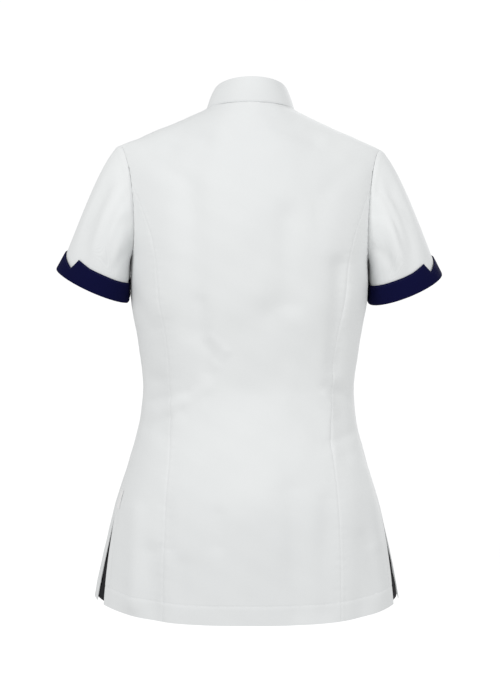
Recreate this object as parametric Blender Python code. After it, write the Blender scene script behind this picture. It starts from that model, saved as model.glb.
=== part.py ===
"""Short-sleeved medical tunic, worn: hollow, and held open as its wearer fills it.

Metres, +Z up. The wearer faces -Y, and the wearer's left is +X. The origin lies
between the shoulders, at the height of the sides of the neck.

The body is one smooth form. An angle goes round it, 0 at the centre back, 90 at
the wearer's left side, 180 at the centre front and negative on the right. A level
goes up it, -1 at the hem, 0 at the underarm and 1 at the neckline and shoulders.
Each panel is the stretch of that form between two seams.
"""
import math
from collections import namedtuple

import bmesh
import bpy
from mathutils import Matrix, Vector

MM = 0.001

# Cloth
WALL = 1.5 * MM
SEAM_GAP = 0.3 * MM
HALF_GAP = SEAM_GAP / 2

# Body form: a row for each level that is measured
Section = namedtuple("Section", "z half_width back front")
SECTIONS = (
    Section(-0.150, 0.1660, 0.115, 0.110),
    Section(-0.205, 0.1630, 0.113, 0.124),
    Section(-0.262, 0.1625, 0.110, 0.134),
    Section(-0.317, 0.1530, 0.103, 0.123),
    Section(-0.367, 0.1460, 0.097, 0.108),
    Section(-0.392, 0.1455, 0.096, 0.102),
    Section(-0.433, 0.1500, 0.102, 0.106),
    Section(-0.483, 0.1635, 0.115, 0.113),
    Section(-0.533, 0.1790, 0.128, 0.119),
    Section(-0.582, 0.1910, 0.133, 0.122),
    Section(-0.632, 0.2020, 0.135, 0.124),
    Section(-0.676, 0.2100, 0.136, 0.125),
    Section(-0.720, 0.2170, 0.137, 0.126),
)
ROUNDNESS = 2 / 2.3
UNDERARM_Z = -0.205
HEM_SIDE_Z = -0.6675
HEM_DIP = 0.0209

# Neck and shoulders
NECK_HALF_WIDTH = 0.061
NECK_SIDE_Y = -0.005
NECK_BACK_REACH = 0.063
NECK_FRONT_REACH = 0.070
NECK_BACK_RISE = 0.003
NECK_FRONT_DROP = 0.065
NECK_FRONT_BEND = 1.3
NECK_ANGLE = 30
SHOULDER_X = 0.180
SHOULDER_Z = -0.052

# How the cloth runs from the chest up to the neck or shoulder: how far below the edge
# it turns, and how deep it still is there
Crest = namedtuple("Crest", "drop reach")
BACK_NECK_CREST = Crest(0.056, 0.75)
FRONT_NECK_CREST = Crest(0.045, 0.50)
SHOULDER_CREST = Crest(0.05, 0.75)
UPPER_RISE = 0.4
UPPER_LEAN = (0.45, 0.9)
SIDE_FULLNESS = (0.0015, 0.004)

# Armholes
ARMHOLE_STEPS = 12
ARMHOLE_SPACING = 1.8
ARMHOLE_IN_BACK = 20
ARMHOLE_IN_FRONT = 27
ARMHOLE_LOW_BEND = 0.3
ARMHOLE_HIGH_BEND = 0.6

# Back princess seams: half width between them at each height
Seam = namedtuple("Seam", "z x")
PRINCESS_SEAM = (
    Seam(-0.060, 0.190), Seam(-0.094, 0.171), Seam(-0.124, 0.1556), Seam(-0.156, 0.144),
    Seam(-0.179, 0.136), Seam(-0.211, 0.130), Seam(-0.262, 0.1255), Seam(-0.304, 0.1185),
    Seam(-0.345, 0.112), Seam(-0.400, 0.109), Seam(-0.469, 0.109), Seam(-0.538, 0.1145),
    Seam(-0.621, 0.1165), Seam(-0.720, 0.1165),
)
PRINCESS_TIP_STEP = 9
PRINCESS_TIP = 1.0 * MM

# Side seams and vents
LEFT, RIGHT = 1, -1
SIDE_ANGLE = 90
SIDE_DRIFT = 14
LOWER_STEPS = 16
VENT_STEPS = 4
VENT_BACK_SWING = 0.023
VENT_FRONT_SWINGS = {LEFT: 0.002, RIGHT: 0.010}
INSERT_LAP = 0.007
INSERT_GAP = 0.9 * MM
INSERT_SHORT = 0.02

# Folds of the body cloth: a soft trough (minus) or ridge (plus) along a short line.
# They fade out near the sides.
FOLD_SIDE_FADE = (0.02, 0.15)
Fold = namedtuple("Fold", "name x0 z0 x1 z1 width depth")
BACK_FOLDS = (
    Fold("hollow left of the middle", 0.084, -0.140, 0.078, -0.310, 0.022, -0.0025),
    Fold("hollow right of the middle", -0.044, -0.150, -0.046, -0.265, 0.020, -0.0022),
    Fold("hollow by the right seam", -0.118, -0.215, -0.112, -0.355, 0.014, -0.0028),
    Fold("left waist hollow", 0.126, -0.378, 0.122, -0.440, 0.014, -0.0030),
    Fold("right waist hollow", -0.120, -0.390, -0.128, -0.468, 0.014, -0.0030),
    Fold("seat", 0.010, -0.450, 0.000, -0.540, 0.055, 0.0040),
    Fold("left hem ridge", 0.152, -0.545, 0.156, -0.665, 0.011, 0.0035),
    Fold("left hem hollow", 0.134, -0.600, 0.128, -0.690, 0.014, -0.0030),
    Fold("right hem hollow", -0.150, -0.580, -0.146, -0.690, 0.014, -0.0025),
    Fold("drag at the left neck", 0.075, -0.022, 0.100, -0.055, 0.012, -0.0015),
    Fold("drag at the right neck", -0.052, -0.012, -0.085, -0.050, 0.013, -0.0018),
)
FRONT_FOLDS = (
    Fold("below the left bust", 0.082, -0.290, 0.070, -0.372, 0.020, -0.0030),
    Fold("below the right bust", -0.078, -0.300, -0.072, -0.378, 0.022, -0.0028),
    Fold("left front waist", 0.112, -0.360, 0.118, -0.440, 0.016, -0.0028),
    Fold("right front waist", -0.110, -0.368, -0.120, -0.430, 0.015, -0.0030),
    Fold("left front skirt", 0.098, -0.545, 0.108, -0.690, 0.020, 0.0032),
    Fold("right front skirt", -0.104, -0.560, -0.112, -0.690, 0.018, 0.0030),
)

# Sleeves: where the sleeve ends, and how it leaves the armhole
SLEEVE_ENDS = {LEFT: Vector((0.2133, -0.0094, -0.2403)), RIGHT: Vector((0.2168, -0.0094, -0.2403))}
SLEEVE_OUT = 0.0508
SLEEVE_DEPTH = 0.0577
SLEEVE_TILT_OUT = math.radians(23.3)
SLEEVE_TILT_FORWARD = math.radians(12)
SLEEVE_STEPS = 10
UNDERARM_GAP = 0.4 * MM
SLEEVE_CLEAR_TOP = 1.2 * MM
SLEEVE_CLEAR_END = 6.8 * MM
Start = namedtuple("Start", "angle direction reach end_reach")
SLEEVE_STARTS = (
    Start(0, Vector((0.848, 0.0, -0.530)), 0.0283, 0.060),
    Start(90, Vector((0.720, 0.520, -0.460)), 0.048, 0.045),
    Start(180, Vector((0.300, -0.100, -0.950)), 0.018, 0.020),
    Start(270, Vector((0.720, -0.520, -0.460)), 0.048, 0.045),
)
SLEEVE_FOLD_FADE = 0.15
SleeveFold = namedtuple("SleeveFold", "name side angle0 along0 angle1 along1 width depth")
SLEEVE_FOLDS = (
    SleeveFold("left upper trough", 1, 38, 0.42, 50, 0.86, 13, -0.0032),
    SleeveFold("left ridge", 1, 62, 0.45, 74, 0.90, 9, 0.0028),
    SleeveFold("left inner trough", 1, 96, 0.30, 100, 0.80, 12, -0.0030),
    SleeveFold("left front trough", 1, 285, 0.35, 300, 0.85, 14, -0.0030),
    SleeveFold("right upper trough", -1, 45, 0.32, 66, 0.80, 12, -0.0034),
    SleeveFold("right ridge", -1, 84, 0.40, 92, 0.92, 9, 0.0030),
    SleeveFold("right inner trough", -1, 108, 0.40, 112, 0.80, 10, -0.0024),
    SleeveFold("right front trough", -1, 292, 0.40, 304, 0.88, 13, -0.0030),
)

# Cuffs: how far the top edge stands above the plain height, round from the outer side
CUFF_HEIGHT = 0.027
CUFF_BELOW_SLEEVE = 0.003
CUFF_GAP = 0.6 * MM
CUFF_HOLDS_FLAT = (0.62, 0.86)
CUFF_FLARE = 3.0 * MM
Edge = namedtuple("Edge", "angle rise")
CUFF_EDGE = (Edge(4, 0.0), Edge(45, -0.011), Edge(52, 0.004), Edge(75, 0.001), Edge(120, 0.0))

# Collar
COLLAR_TOP_HALF_WIDTH = 0.050
COLLAR_TOP_Y = -0.006
COLLAR_TOP_BACK_REACH = 0.060
COLLAR_TOP_FRONT_REACH = 0.063
COLLAR_TOP_SIDE_Z = 0.028
COLLAR_TOP_BACK_RISE = 0.010
COLLAR_TOP_FRONT_DROP = 0.064
COLLAR_BASE_GAP = 0.4 * MM
COLLAR_END_ANGLE = 0.25
COLLAR_END_SPREAD = 5.0
COLLAR_STEPS = 3
COLLAR_BACK_COLUMNS = 4

# Front opening
CENTRE_FRONT = 180
FRONT_SIDE_COLUMNS = 8
FRONT_NECK_COLUMNS = 3
PLACKET_HALF_WIDTH = 0.016
STUD_COUNT = 7
STUD_RADIUS = 0.0052
STUD_HEIGHT = 0.0018
STUD_TAPER = 0.82
STUD_FIRST_Z = -0.088
STUD_LAST_Z = -0.604

# Panels
BACK_COLUMNS = 24
SIDE_BACK_COLUMNS = 6

# Blank label in the left side seam
LABEL_TOP_Z = -0.520
LABEL_BOTTOM_Z = -0.545
LABEL_WIDTH = 0.013
LABEL_WALL = 1.0 * MM
LABEL_GAP = 0.5 * MM

# Small steps used to measure slopes
NUDGE = 1e-3
ANGLE_STEP = 0.4
LEVEL_STEP = 0.01


def mix(a, b, share):
    """Return the value, or point, that lies the given share of the way from a to b."""
    return a + (b - a) * share


def ease(value, low, high):
    """Return 0 below low and 1 above high, with a soft rise between."""
    share = min(max((value - low) / (high - low), 0.0), 1.0)
    return share * share * (3 - 2 * share)


def signed_power(value, power):
    """Return a power of the value that keeps its sign."""
    return math.copysign(abs(value) ** power, value)


def bezier(p0, p1, p2, p3, share):
    """Return a point of a cubic curve."""
    rest = 1 - share
    return rest ** 3 * p0 + 3 * rest ** 2 * share * p1 + 3 * rest * share ** 2 * p2 + share ** 3 * p3


def smooth_row(rows, z):
    """Read a table of falling heights at z, on a smooth curve through its rows."""
    last = len(rows) - 2
    k = next((i for i in range(last) if z >= rows[i + 1].z), last)
    low, high = rows[k], rows[k + 1]
    span = high.z - low.z
    share = (z - low.z) / span
    before, after = rows[max(k - 1, 0)], rows[min(k + 2, last + 1)]
    values = []
    for column in range(1, len(low)):
        slope_low = (high[column] - before[column]) / (high.z - before.z) * span
        slope_high = (after[column] - low[column]) / (after.z - low.z) * span
        a, b = low[column], high[column]
        values.append(
            (2 * share ** 3 - 3 * share ** 2 + 1) * a + (share ** 3 - 2 * share ** 2 + share) * slope_low
            + (3 * share ** 2 - 2 * share ** 3) * b + (share ** 3 - share ** 2) * slope_high)
    return values


def fold_height(folds, x, z):
    """Return how far the folds lift the cloth at a point of the back or front."""
    total = 0.0
    for fold in folds:
        along = Vector((fold.x1 - fold.x0, fold.z1 - fold.z0))
        offset = Vector((x - fold.x0, z - fold.z0))
        share = min(max(offset.dot(along) / along.length_squared, 0.0), 1.0)
        distance = (offset - along * share).length
        total += fold.depth * math.exp(-(distance / fold.width) ** 2)
    return total


def ring_point(angle, z):
    """Return the point of the level section at height z, before folds."""
    half_width, back, front = smooth_row(SECTIONS, z)
    sine, cosine = math.sin(math.radians(angle)), math.cos(math.radians(angle))
    depth = back if cosine >= 0 else front
    return Vector((half_width * signed_power(sine, ROUNDNESS), depth * signed_power(cosine, ROUNDNESS), z))


def from_centre(angle):
    """Return the angle from the nearer centre line, 0 there and 90 at the side."""
    return abs(angle) if abs(angle) <= 90 else 180 - abs(angle)


def top_edge(angle):
    """Return the neckline near the middle and the shoulder seam beyond it."""
    lean = from_centre(angle)
    behind = abs(angle) <= 90
    side = LEFT if angle >= 0 else RIGHT
    if lean > NECK_ANGLE:
        corner = math.sin(math.radians(NECK_ANGLE)) ** ROUNDNESS
        share = (math.sin(math.radians(lean)) ** ROUNDNESS - corner) / (1 - corner)
        x = mix(NECK_HALF_WIDTH, SHOULDER_X, share)
        y, z = mix(NECK_SIDE_Y, 0, share), SHOULDER_Z * share
    else:
        turn = lean / NECK_ANGLE * math.pi / 2
        x = NECK_HALF_WIDTH * math.sin(turn)
        y = NECK_SIDE_Y + (NECK_BACK_REACH if behind else -NECK_FRONT_REACH) * math.cos(turn)
        z = NECK_BACK_RISE * math.cos(turn)
        if not behind:
            z = -NECK_FRONT_DROP * math.cos(turn) ** NECK_FRONT_BEND
    return Vector((side * x, y, z))


def upper_point(angle, level):
    """Return a point between the underarm section and the neck or shoulder."""
    behind = abs(angle) <= 90
    lean = from_centre(angle)
    low, high = ring_point(angle, UNDERARM_Z), top_edge(angle)
    slope = (ring_point(angle, UNDERARM_Z + NUDGE) - low) / NUDGE
    rise = high.z - low.z
    to_side = (lean / 90) ** 4
    on_shoulder = ease(lean, 0, NECK_ANGLE)
    neck = BACK_NECK_CREST if behind else FRONT_NECK_CREST
    drop = mix(neck.drop, SHOULDER_CREST.drop * abs(low.y - high.y), on_shoulder)
    reach = mix(neck.reach, SHOULDER_CREST.reach, on_shoulder)
    side = LEFT if angle >= 0 else RIGHT
    start = low + slope * UPPER_RISE * rise
    start.x = mix(low.x, high.x, UPPER_LEAN[0]) + side * SIDE_FULLNESS[0] * to_side
    end = Vector((mix(low.x, high.x, UPPER_LEAN[1]) + side * SIDE_FULLNESS[1] * to_side,
                  mix(high.y, low.y, reach), high.z - drop))
    return bezier(low, start, end, high, level)


def form(angle, level):
    """Return the outer surface of the body cloth."""
    angle = (angle + 180) % 360 - 180
    if level <= 0:
        hem = HEM_SIDE_Z - HEM_DIP * (1 - abs(math.sin(math.radians(angle))) ** 3)
        point = ring_point(angle, mix(UNDERARM_Z, hem, -level))
    else:
        point = upper_point(angle, min(level, 1.0))
    folds = BACK_FOLDS if abs(angle) <= 90 else FRONT_FOLDS
    facing = math.cos(math.radians(angle)) ** 2
    outward = Vector((point.x, point.y * 2, 0)).normalized()
    return point + outward * fold_height(folds, point.x, point.z) * ease(facing, *FOLD_SIDE_FADE)


def form_normal(angle, level):
    """Return the outward direction of the body cloth."""
    side = LEFT if (angle + 180) % 360 >= 180 else RIGHT
    if level > 1 - LEVEL_STEP and from_centre((angle + 180) % 360 - 180) >= NECK_ANGLE - 0.01:
        return Vector((-side * SHOULDER_Z, 0, SHOULDER_X - NECK_HALF_WIDTH)).normalized()
    low, high = max(level - LEVEL_STEP, -1), min(level + LEVEL_STEP, 1)
    up = form(angle, high) - form(angle, low)
    round_ = form(angle + ANGLE_STEP, level) - form(angle - ANGLE_STEP, level)
    return up.cross(round_).normalized()


def shifted(angle, level, distance):
    """Move an angle along the cloth by a distance in metres."""
    span = (form(angle + ANGLE_STEP, level) - form(angle - ANGLE_STEP, level)).length
    return angle + distance * 2 * ANGLE_STEP / span


def on_form(angle, level, height):
    """Return the point of the form, moved out by a height."""
    return form(angle, level) + form_normal(angle, level) * height


def placket_edge(level):
    """Return the angle of the placket's left edge."""
    return shifted(CENTRE_FRONT, level, -PLACKET_HALF_WIDTH)


def level_at(angle, z):
    """Return the level at which the form reaches a height."""
    low, high = -1.0, 1.0
    for _ in range(30):
        level = (low + high) / 2
        if form(angle, level).z < z:
            low = level
        else:
            high = level
    return level


def armhole_level(turn):
    """Return the level of the armhole, for a turn of 0 at the shoulder and 180 below."""
    return abs(1 - (turn % 360) / 180) ** ARMHOLE_SPACING


def armhole_angle(behind, level):
    """Return the angle at which the armhole cuts the form at a level."""
    deepest = ARMHOLE_LOW_BEND / (ARMHOLE_LOW_BEND + ARMHOLE_HIGH_BEND)
    cut_in = (level / deepest) ** ARMHOLE_LOW_BEND * ((1 - level) / (1 - deepest)) ** ARMHOLE_HIGH_BEND
    lean = 90 - (ARMHOLE_IN_BACK if behind else ARMHOLE_IN_FRONT) * cut_in
    return lean if behind else 180 - lean


def armhole_point(side, turn):
    """Return a point of the armhole, going back from the shoulder."""
    level = armhole_level(turn)
    return form(side * armhole_angle(turn % 360 <= 180, level), level)


def side_seam(level):
    """Return the angle of the left side seam, which drifts back to the hem."""
    return SIDE_ANGLE - SIDE_DRIFT * ease(-level, 0, 1)


def princess_seam(level):
    """Return the angle of the left princess seam of the back."""
    low, high = 5.0, 90.0
    for _ in range(40):
        angle = (low + high) / 2
        point = form(angle, level)
        if point.x < smooth_row(PRINCESS_SEAM, point.z)[0]:
            low = angle
        else:
            high = angle
    if level > 0:
        limit = shifted(armhole_angle(True, level), level, -PRINCESS_TIP - HALF_GAP)
        return min(angle, limit)
    return angle


LOWER_LEVELS = [i / LOWER_STEPS - 1 for i in range(LOWER_STEPS)]
UPPER_LEVELS = [(i / ARMHOLE_STEPS) ** ARMHOLE_SPACING for i in range(ARMHOLE_STEPS + 1)]
LEVELS = LOWER_LEVELS + UPPER_LEVELS
TIP_LEVEL = UPPER_LEVELS[PRINCESS_TIP_STEP]
VENT_TOP = LOWER_LEVELS[VENT_STEPS]


def vent_share(level):
    """Return 0 at the top of the vent and above, and 1 at the hem."""
    return max((VENT_TOP - level) / (VENT_TOP + 1), 0)


def back_centre_edge(level):
    """Return the left edge of the middle back."""
    if level > TIP_LEVEL:
        return armhole_angle(True, level)
    return shifted(princess_seam(level), level, -HALF_GAP)


def side_back_outer_edge(level):
    """Return the edge of the side back towards the armhole, side seam or vent."""
    if level > 0:
        return armhole_angle(True, level)
    return shifted(side_seam(level), level, -HALF_GAP - VENT_BACK_SWING * vent_share(level))


def front_outer_edge(level, side):
    """Return the edge of a front towards the armhole, side seam or vent."""
    if level > 0:
        return armhole_angle(False, level)
    return shifted(side_seam(level), level, HALF_GAP + VENT_FRONT_SWINGS[side] * vent_share(level))


def body_half_width(y, z):
    """Return how wide the body is at a depth, to keep the sleeves off it."""
    half_width, back, front = smooth_row(SECTIONS, min(z, UNDERARM_Z))
    share = abs(y) / (back if y >= 0 else front)
    return half_width * max(1 - min(share, 1) ** (2 / ROUNDNESS), 0) ** (ROUNDNESS / 2)


def sleeve_axes():
    """Return the outward, backward and upward directions of the sleeve's end."""
    outward = Vector((math.cos(SLEEVE_TILT_OUT), 0, math.sin(SLEEVE_TILT_OUT)))
    backward = Vector((0, math.cos(SLEEVE_TILT_FORWARD), -math.sin(SLEEVE_TILT_FORWARD)))
    return outward, backward, outward.cross(backward).normalized()


def armhole_outward(side, turn):
    """Return the direction that leads from the body cloth across the armhole seam."""
    level = armhole_level(turn)
    along = armhole_point(side, turn + 1) - armhole_point(side, turn - 1)
    normal = form_normal(side * armhole_angle(turn % 360 <= 180, level), level)
    return (along.cross(normal) * side).normalized()


def sleeve_fold_height(side, turn, along):
    """Return how far the sleeve's folds lift its cloth."""
    total = 0.0
    for fold in SLEEVE_FOLDS:
        if fold.side != side:
            continue
        share = min(max((along - fold.along0) / (fold.along1 - fold.along0), 0.0), 1.0)
        across = turn - mix(fold.angle0, fold.angle1, share)
        beyond = (along - mix(fold.along0, fold.along1, share)) / SLEEVE_FOLD_FADE
        total += fold.depth * math.exp(-(across / fold.width) ** 2 - beyond ** 2)
    return total * (1 - ease(along, *CUFF_HOLDS_FLAT))


def sleeve_point(side, turn, along):
    """Return the outer surface of a sleeve, from its armhole (0) to its end (1)."""
    turn %= 360
    mirror = Vector((side, 1, 1))
    outward, backward, upward = sleeve_axes()
    sine, cosine = math.sin(math.radians(turn)), math.cos(math.radians(turn))
    direction, reach, end_reach = Vector(), 0.0, 0.0
    for start in SLEEVE_STARTS:
        weight = max(math.cos(math.radians(turn - start.angle)), 0) ** 2
        direction += start.direction * weight
        reach += start.reach * weight
        end_reach += start.end_reach * weight
    seam = armhole_point(side, turn) + armhole_outward(side, turn) * SEAM_GAP
    seam *= mirror
    seam.x += UNDERARM_GAP * max(-cosine, 0) ** 2
    end = SLEEVE_ENDS[side] + outward * SLEEVE_OUT * cosine + backward * SLEEVE_DEPTH * sine
    point = bezier(seam, seam + direction.normalized() * reach, end + upward * end_reach, end, along)
    radial = (outward * cosine + backward * sine).normalized()
    point += radial * sleeve_fold_height(side, turn, along)
    if cosine < 0.5:
        clear = SLEEVE_CLEAR_TOP * ease(along, 0, 0.12)
        clear += (SLEEVE_CLEAR_END - SLEEVE_CLEAR_TOP) * ease(along, 0.2, 1)
        point.x = max(point.x, body_half_width(point.y, point.z) + clear)
    return point * mirror


def sleeve_normal(side, turn, along):
    """Return the outward direction of a sleeve's cloth."""
    low, high = max(along - 0.02, 0), min(along + 0.02, 1)
    down = sleeve_point(side, turn, high) - sleeve_point(side, turn, low)
    round_ = sleeve_point(side, turn + 2, along) - sleeve_point(side, turn - 2, along)
    return (down.cross(round_) * side).normalized()


def sleeve_wall(side):
    """Return a function that places the sleeve's outer and inner points."""
    def place(turn, along, inner):
        point = sleeve_point(side, turn, along)
        if not inner:
            return point
        shift = -sleeve_normal(side, turn, along) * WALL
        if along == 0:
            across = armhole_outward(side, turn)
            shift -= across * min(shift.dot(across), 0)
        return point + shift
    return place


def sleeve_along(side, turn, height):
    """Return how far along a sleeve the cloth lies a height above its end."""
    steps = 40
    climbed, last = 0.0, sleeve_point(side, turn, 1)
    for k in range(1, steps):
        point = sleeve_point(side, turn, 1 - k / steps)
        climbed += (point - last).length
        if climbed >= height:
            return 1 - (k - (climbed - height) / (point - last).length) / steps
        last = point
    return 0.0


def cuff_height(turn):
    """Return the height of the cuff's top edge, notch included."""
    turn %= 360
    for low, high in zip(CUFF_EDGE, CUFF_EDGE[1:]):
        if low.angle <= turn <= high.angle:
            return CUFF_HEIGHT + mix(low.rise, high.rise, (turn - low.angle) / (high.angle - low.angle))
    return CUFF_HEIGHT


def cuff_wall(side):
    """Return a function that places the cuff's outer and inner points."""
    def place(turn, share, inner):
        height = share * cuff_height(turn) - CUFF_BELOW_SLEEVE
        along = sleeve_along(side, turn, max(height, 0))
        below = sleeve_axes()[2] * min(height, 0) * Vector((side, 1, 1))
        lift = CUFF_GAP + CUFF_FLARE * (1 - (height + CUFF_BELOW_SLEEVE) / CUFF_HEIGHT)
        lift = max(lift, CUFF_GAP) + (0 if inner else WALL)
        return sleeve_point(side, turn, along) + below + sleeve_normal(side, turn, along) * lift
    return place


def body_wall(left_edge, right_edge, lift=0.0, wall=WALL):
    """Return a function that places a panel between two edges given as angles."""
    def place(share, level, inner):
        angle = mix(left_edge(level), right_edge(level), share)
        return off_shoulder(angle, level, lift - (wall if inner else 0), HALF_GAP)
    return place


def off_shoulder(angle, level, height, gap):
    """Return a point of a panel, moved a gap back from the shoulder line where it ends there."""
    point = on_form(angle, level, height)
    if level >= 1 and from_centre(angle) > NECK_ANGLE / 2:
        point.y += gap
    return point


def front_wall(side):
    """Return a function that places a front, with a column along the placket's edge."""
    def place(stop, level, inner):
        outer, edge = front_outer_edge(level, side), placket_edge(level)
        centre = shifted(CENTRE_FRONT, level, -HALF_GAP)
        angle = mix(outer, edge, stop) if stop <= 1 else centre
        return off_shoulder(side * angle, level, -WALL if inner else 0, -HALF_GAP)
    return place


def collar_top(angle):
    """Return the top edge of the collar above a point of the neckline."""
    turn = from_centre(angle) / NECK_ANGLE * math.pi / 2
    behind = abs(angle) <= 90
    side = LEFT if angle >= 0 else RIGHT
    reach = COLLAR_TOP_BACK_REACH if behind else -COLLAR_TOP_FRONT_REACH
    rise = COLLAR_TOP_BACK_RISE if behind else -COLLAR_TOP_FRONT_DROP
    bend = 1.0 if behind else NECK_FRONT_BEND
    return Vector((side * COLLAR_TOP_HALF_WIDTH * math.sin(turn), COLLAR_TOP_Y + reach * math.cos(turn),
                   COLLAR_TOP_SIDE_Z + rise * math.cos(turn) ** bend))


def collar_point(angle, share):
    """Return the outer surface of the collar."""
    base = top_edge(angle)
    inward = Vector((-base.x, NECK_SIDE_Y - base.y, 0)).normalized()
    base += (inward * 0.5 + Vector((0, 0, 1))).normalized() * COLLAR_BASE_GAP
    spread = ease(abs(angle), placket_edge(1), CENTRE_FRONT) * COLLAR_END_SPREAD
    return mix(base, collar_top(angle - math.copysign(spread, angle)), share)


def collar_angle(stop):
    """Turn a stop round the neck into an angle: 1 is a shoulder, 2 the placket, 3 the end."""
    side = LEFT if stop >= 0 else RIGHT
    share = abs(stop)
    if share <= 1:
        return side * share * NECK_ANGLE
    if share <= 2:
        return side * mix(CENTRE_FRONT - NECK_ANGLE, placket_edge(1), share - 1)
    return side * mix(placket_edge(1), CENTRE_FRONT - COLLAR_END_ANGLE, share - 2)


def collar_wall(stop, share, inner):
    """Place the collar's outer and inner points."""
    near = [collar_point(collar_angle(max(min(stop + step, 3), -3)), share) for step in (-0.01, 0.01)]
    up = collar_point(collar_angle(stop), 1) - collar_point(collar_angle(stop), 0)
    normal = up.cross(near[1] - near[0]).normalized()
    return collar_point(collar_angle(stop), share) - normal * (WALL if inner else 0)


def cloth_solid(name, columns, rows, place, material, closed=False):
    """Make a wall of cloth: a grid of outer points, the same moved in, and its edges."""
    mesh = bmesh.new()
    wide, high = len(columns) - 1, len(rows) - 1
    bmesh.ops.create_grid(mesh, x_segments=wide, y_segments=high, size=1)
    thick = bmesh.ops.extrude_face_region(mesh, geom=mesh.faces[:])["geom"]
    for item in thick:
        if isinstance(item, bmesh.types.BMVert):
            item.co.z = 1
    if closed:
        ends = [f for f in mesh.faces if all(abs(v.co.x) > 0.9999 for v in f.verts)]
        bmesh.ops.delete(mesh, geom=ends, context="FACES")
    for vertex in mesh.verts:
        column = round((vertex.co.x + 1) / 2 * wide)
        row = round((vertex.co.y + 1) / 2 * high)
        vertex.co = place(columns[column], rows[row], vertex.co.z > 0.5)
    if closed:
        bmesh.ops.remove_doubles(mesh, verts=mesh.verts, dist=1e-6)
    bmesh.ops.triangulate(mesh, faces=mesh.faces[:], quad_method="SHORT_EDGE")
    return finish(name, mesh, material)


def finish(name, mesh, material):
    """Turn a closed mesh outwards and make it an object of its own."""
    bmesh.ops.recalc_face_normals(mesh, faces=mesh.faces)
    if mesh.calc_volume(signed=True) < 0:
        bmesh.ops.reverse_faces(mesh, faces=mesh.faces)
    data = bpy.data.meshes.new(name)
    mesh.to_mesh(data)
    mesh.free()
    data.materials.append(material)
    data.shade_smooth()
    data.set_sharp_from_angle(angle=math.radians(40))
    item = bpy.data.objects.new(name, data)
    bpy.context.collection.objects.link(item)
    return item


def make_material(name, colour, roughness):
    """Return a plain material of one colour."""
    material = bpy.data.materials.new(name)
    material.use_nodes = True
    shader = material.node_tree.nodes["Principled BSDF"]
    shader.inputs["Base Color"].default_value = (*colour, 1)
    shader.inputs["Roughness"].default_value = roughness
    shader.inputs["Metallic"].default_value = 0
    return material


def even(count):
    """Return count + 1 stops from 0 to 1."""
    return [i / count for i in range(count + 1)]


def front_stops():
    """Return stops from side to placket (1) and centre (2), with one on the neck's corner."""
    corner = (90 - NECK_ANGLE) / (placket_edge(1) - 90)
    shoulder = [corner * share for share in even(FRONT_SIDE_COLUMNS)]
    neck = [mix(corner, 1, share) for share in even(FRONT_NECK_COLUMNS)]
    return shoulder + neck[1:] + [2]


def build_body(cloth):
    """Build the back, the side backs and the fronts."""
    cloth_solid("back_centre", even(BACK_COLUMNS), LEVELS,
                body_wall(lambda v: -back_centre_edge(v), back_centre_edge), cloth)
    side_levels = [v for v in LEVELS if v <= TIP_LEVEL]
    for side, word in ((LEFT, "left"), (RIGHT, "right")):
        def inner_edge(level, side=side):
            return side * shifted(princess_seam(level), level, HALF_GAP)

        def outer_edge(level, side=side):
            return side * side_back_outer_edge(level)

        cloth_solid(f"side_back_{word}", even(SIDE_BACK_COLUMNS), side_levels,
                    body_wall(inner_edge, outer_edge), cloth)
        cloth_solid(f"front_{word}", front_stops(), LEVELS, front_wall(side), cloth)


def build_sleeves(cloth, trim):
    """Build both sleeves and the cuffs that stand on them."""
    turns = [360 * i / (2 * ARMHOLE_STEPS) for i in range(2 * ARMHOLE_STEPS + 1)]
    cuff_turns = sorted(set(turns) | {edge.angle for edge in CUFF_EDGE})
    for side, word in ((LEFT, "left"), (RIGHT, "right")):
        cloth_solid(f"sleeve_{word}", turns, even(SLEEVE_STEPS), sleeve_wall(side), cloth, closed=True)
        cloth_solid(f"cuff_{word}", cuff_turns, even(3), cuff_wall(side), trim, closed=True)


def build_collar(cloth):
    """Build the stand collar."""
    back = [i / COLLAR_BACK_COLUMNS for i in range(COLLAR_BACK_COLUMNS)]
    front = [1 + i / FRONT_NECK_COLUMNS for i in range(FRONT_NECK_COLUMNS + 1)]
    half = back + front + [3]
    stops = [-stop for stop in reversed(half[1:])] + half
    cloth_solid("collar", stops, even(COLLAR_STEPS), collar_wall, cloth)


def build_opening(cloth, plastic):
    """Build the strip over the front opening and the press studs on it."""
    cloth_solid("front_placket", even(2), LEVELS,
                body_wall(placket_edge, lambda level: 2 * CENTRE_FRONT - placket_edge(level),
                          lift=SEAM_GAP + WALL), cloth)
    for k in range(STUD_COUNT):
        level = level_at(CENTRE_FRONT, mix(STUD_FIRST_Z, STUD_LAST_Z, k / (STUD_COUNT - 1)))
        seat = on_form(CENTRE_FRONT, level, 2 * SEAM_GAP + WALL + STUD_HEIGHT / 2)
        turn = form_normal(CENTRE_FRONT, level).to_track_quat("Z", "Y").to_matrix().to_4x4()
        mesh = bmesh.new()
        bmesh.ops.create_cone(mesh, cap_ends=True, segments=16, radius1=STUD_RADIUS,
                              radius2=STUD_RADIUS * STUD_TAPER, depth=STUD_HEIGHT)
        stud = finish(f"press_stud_{k + 1}", mesh, plastic)
        stud.matrix_world = Matrix.Translation(seat) @ turn


def build_vent_inserts(dark):
    """Build the dark triangle behind each side vent."""
    levels = LOWER_LEVELS[:VENT_STEPS + 1]
    levels[0] += INSERT_SHORT
    for side, word in ((LEFT, "left"), (RIGHT, "right")):
        def back_edge(level, side=side):
            return side * shifted(side_back_outer_edge(level), level, -INSERT_LAP)

        def front_edge(level, side=side):
            return side * shifted(front_outer_edge(level, side), level, INSERT_LAP)

        cloth_solid(f"vent_insert_{word}", even(5), levels,
                    body_wall(back_edge, front_edge, lift=-WALL - INSERT_GAP), dark)


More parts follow.
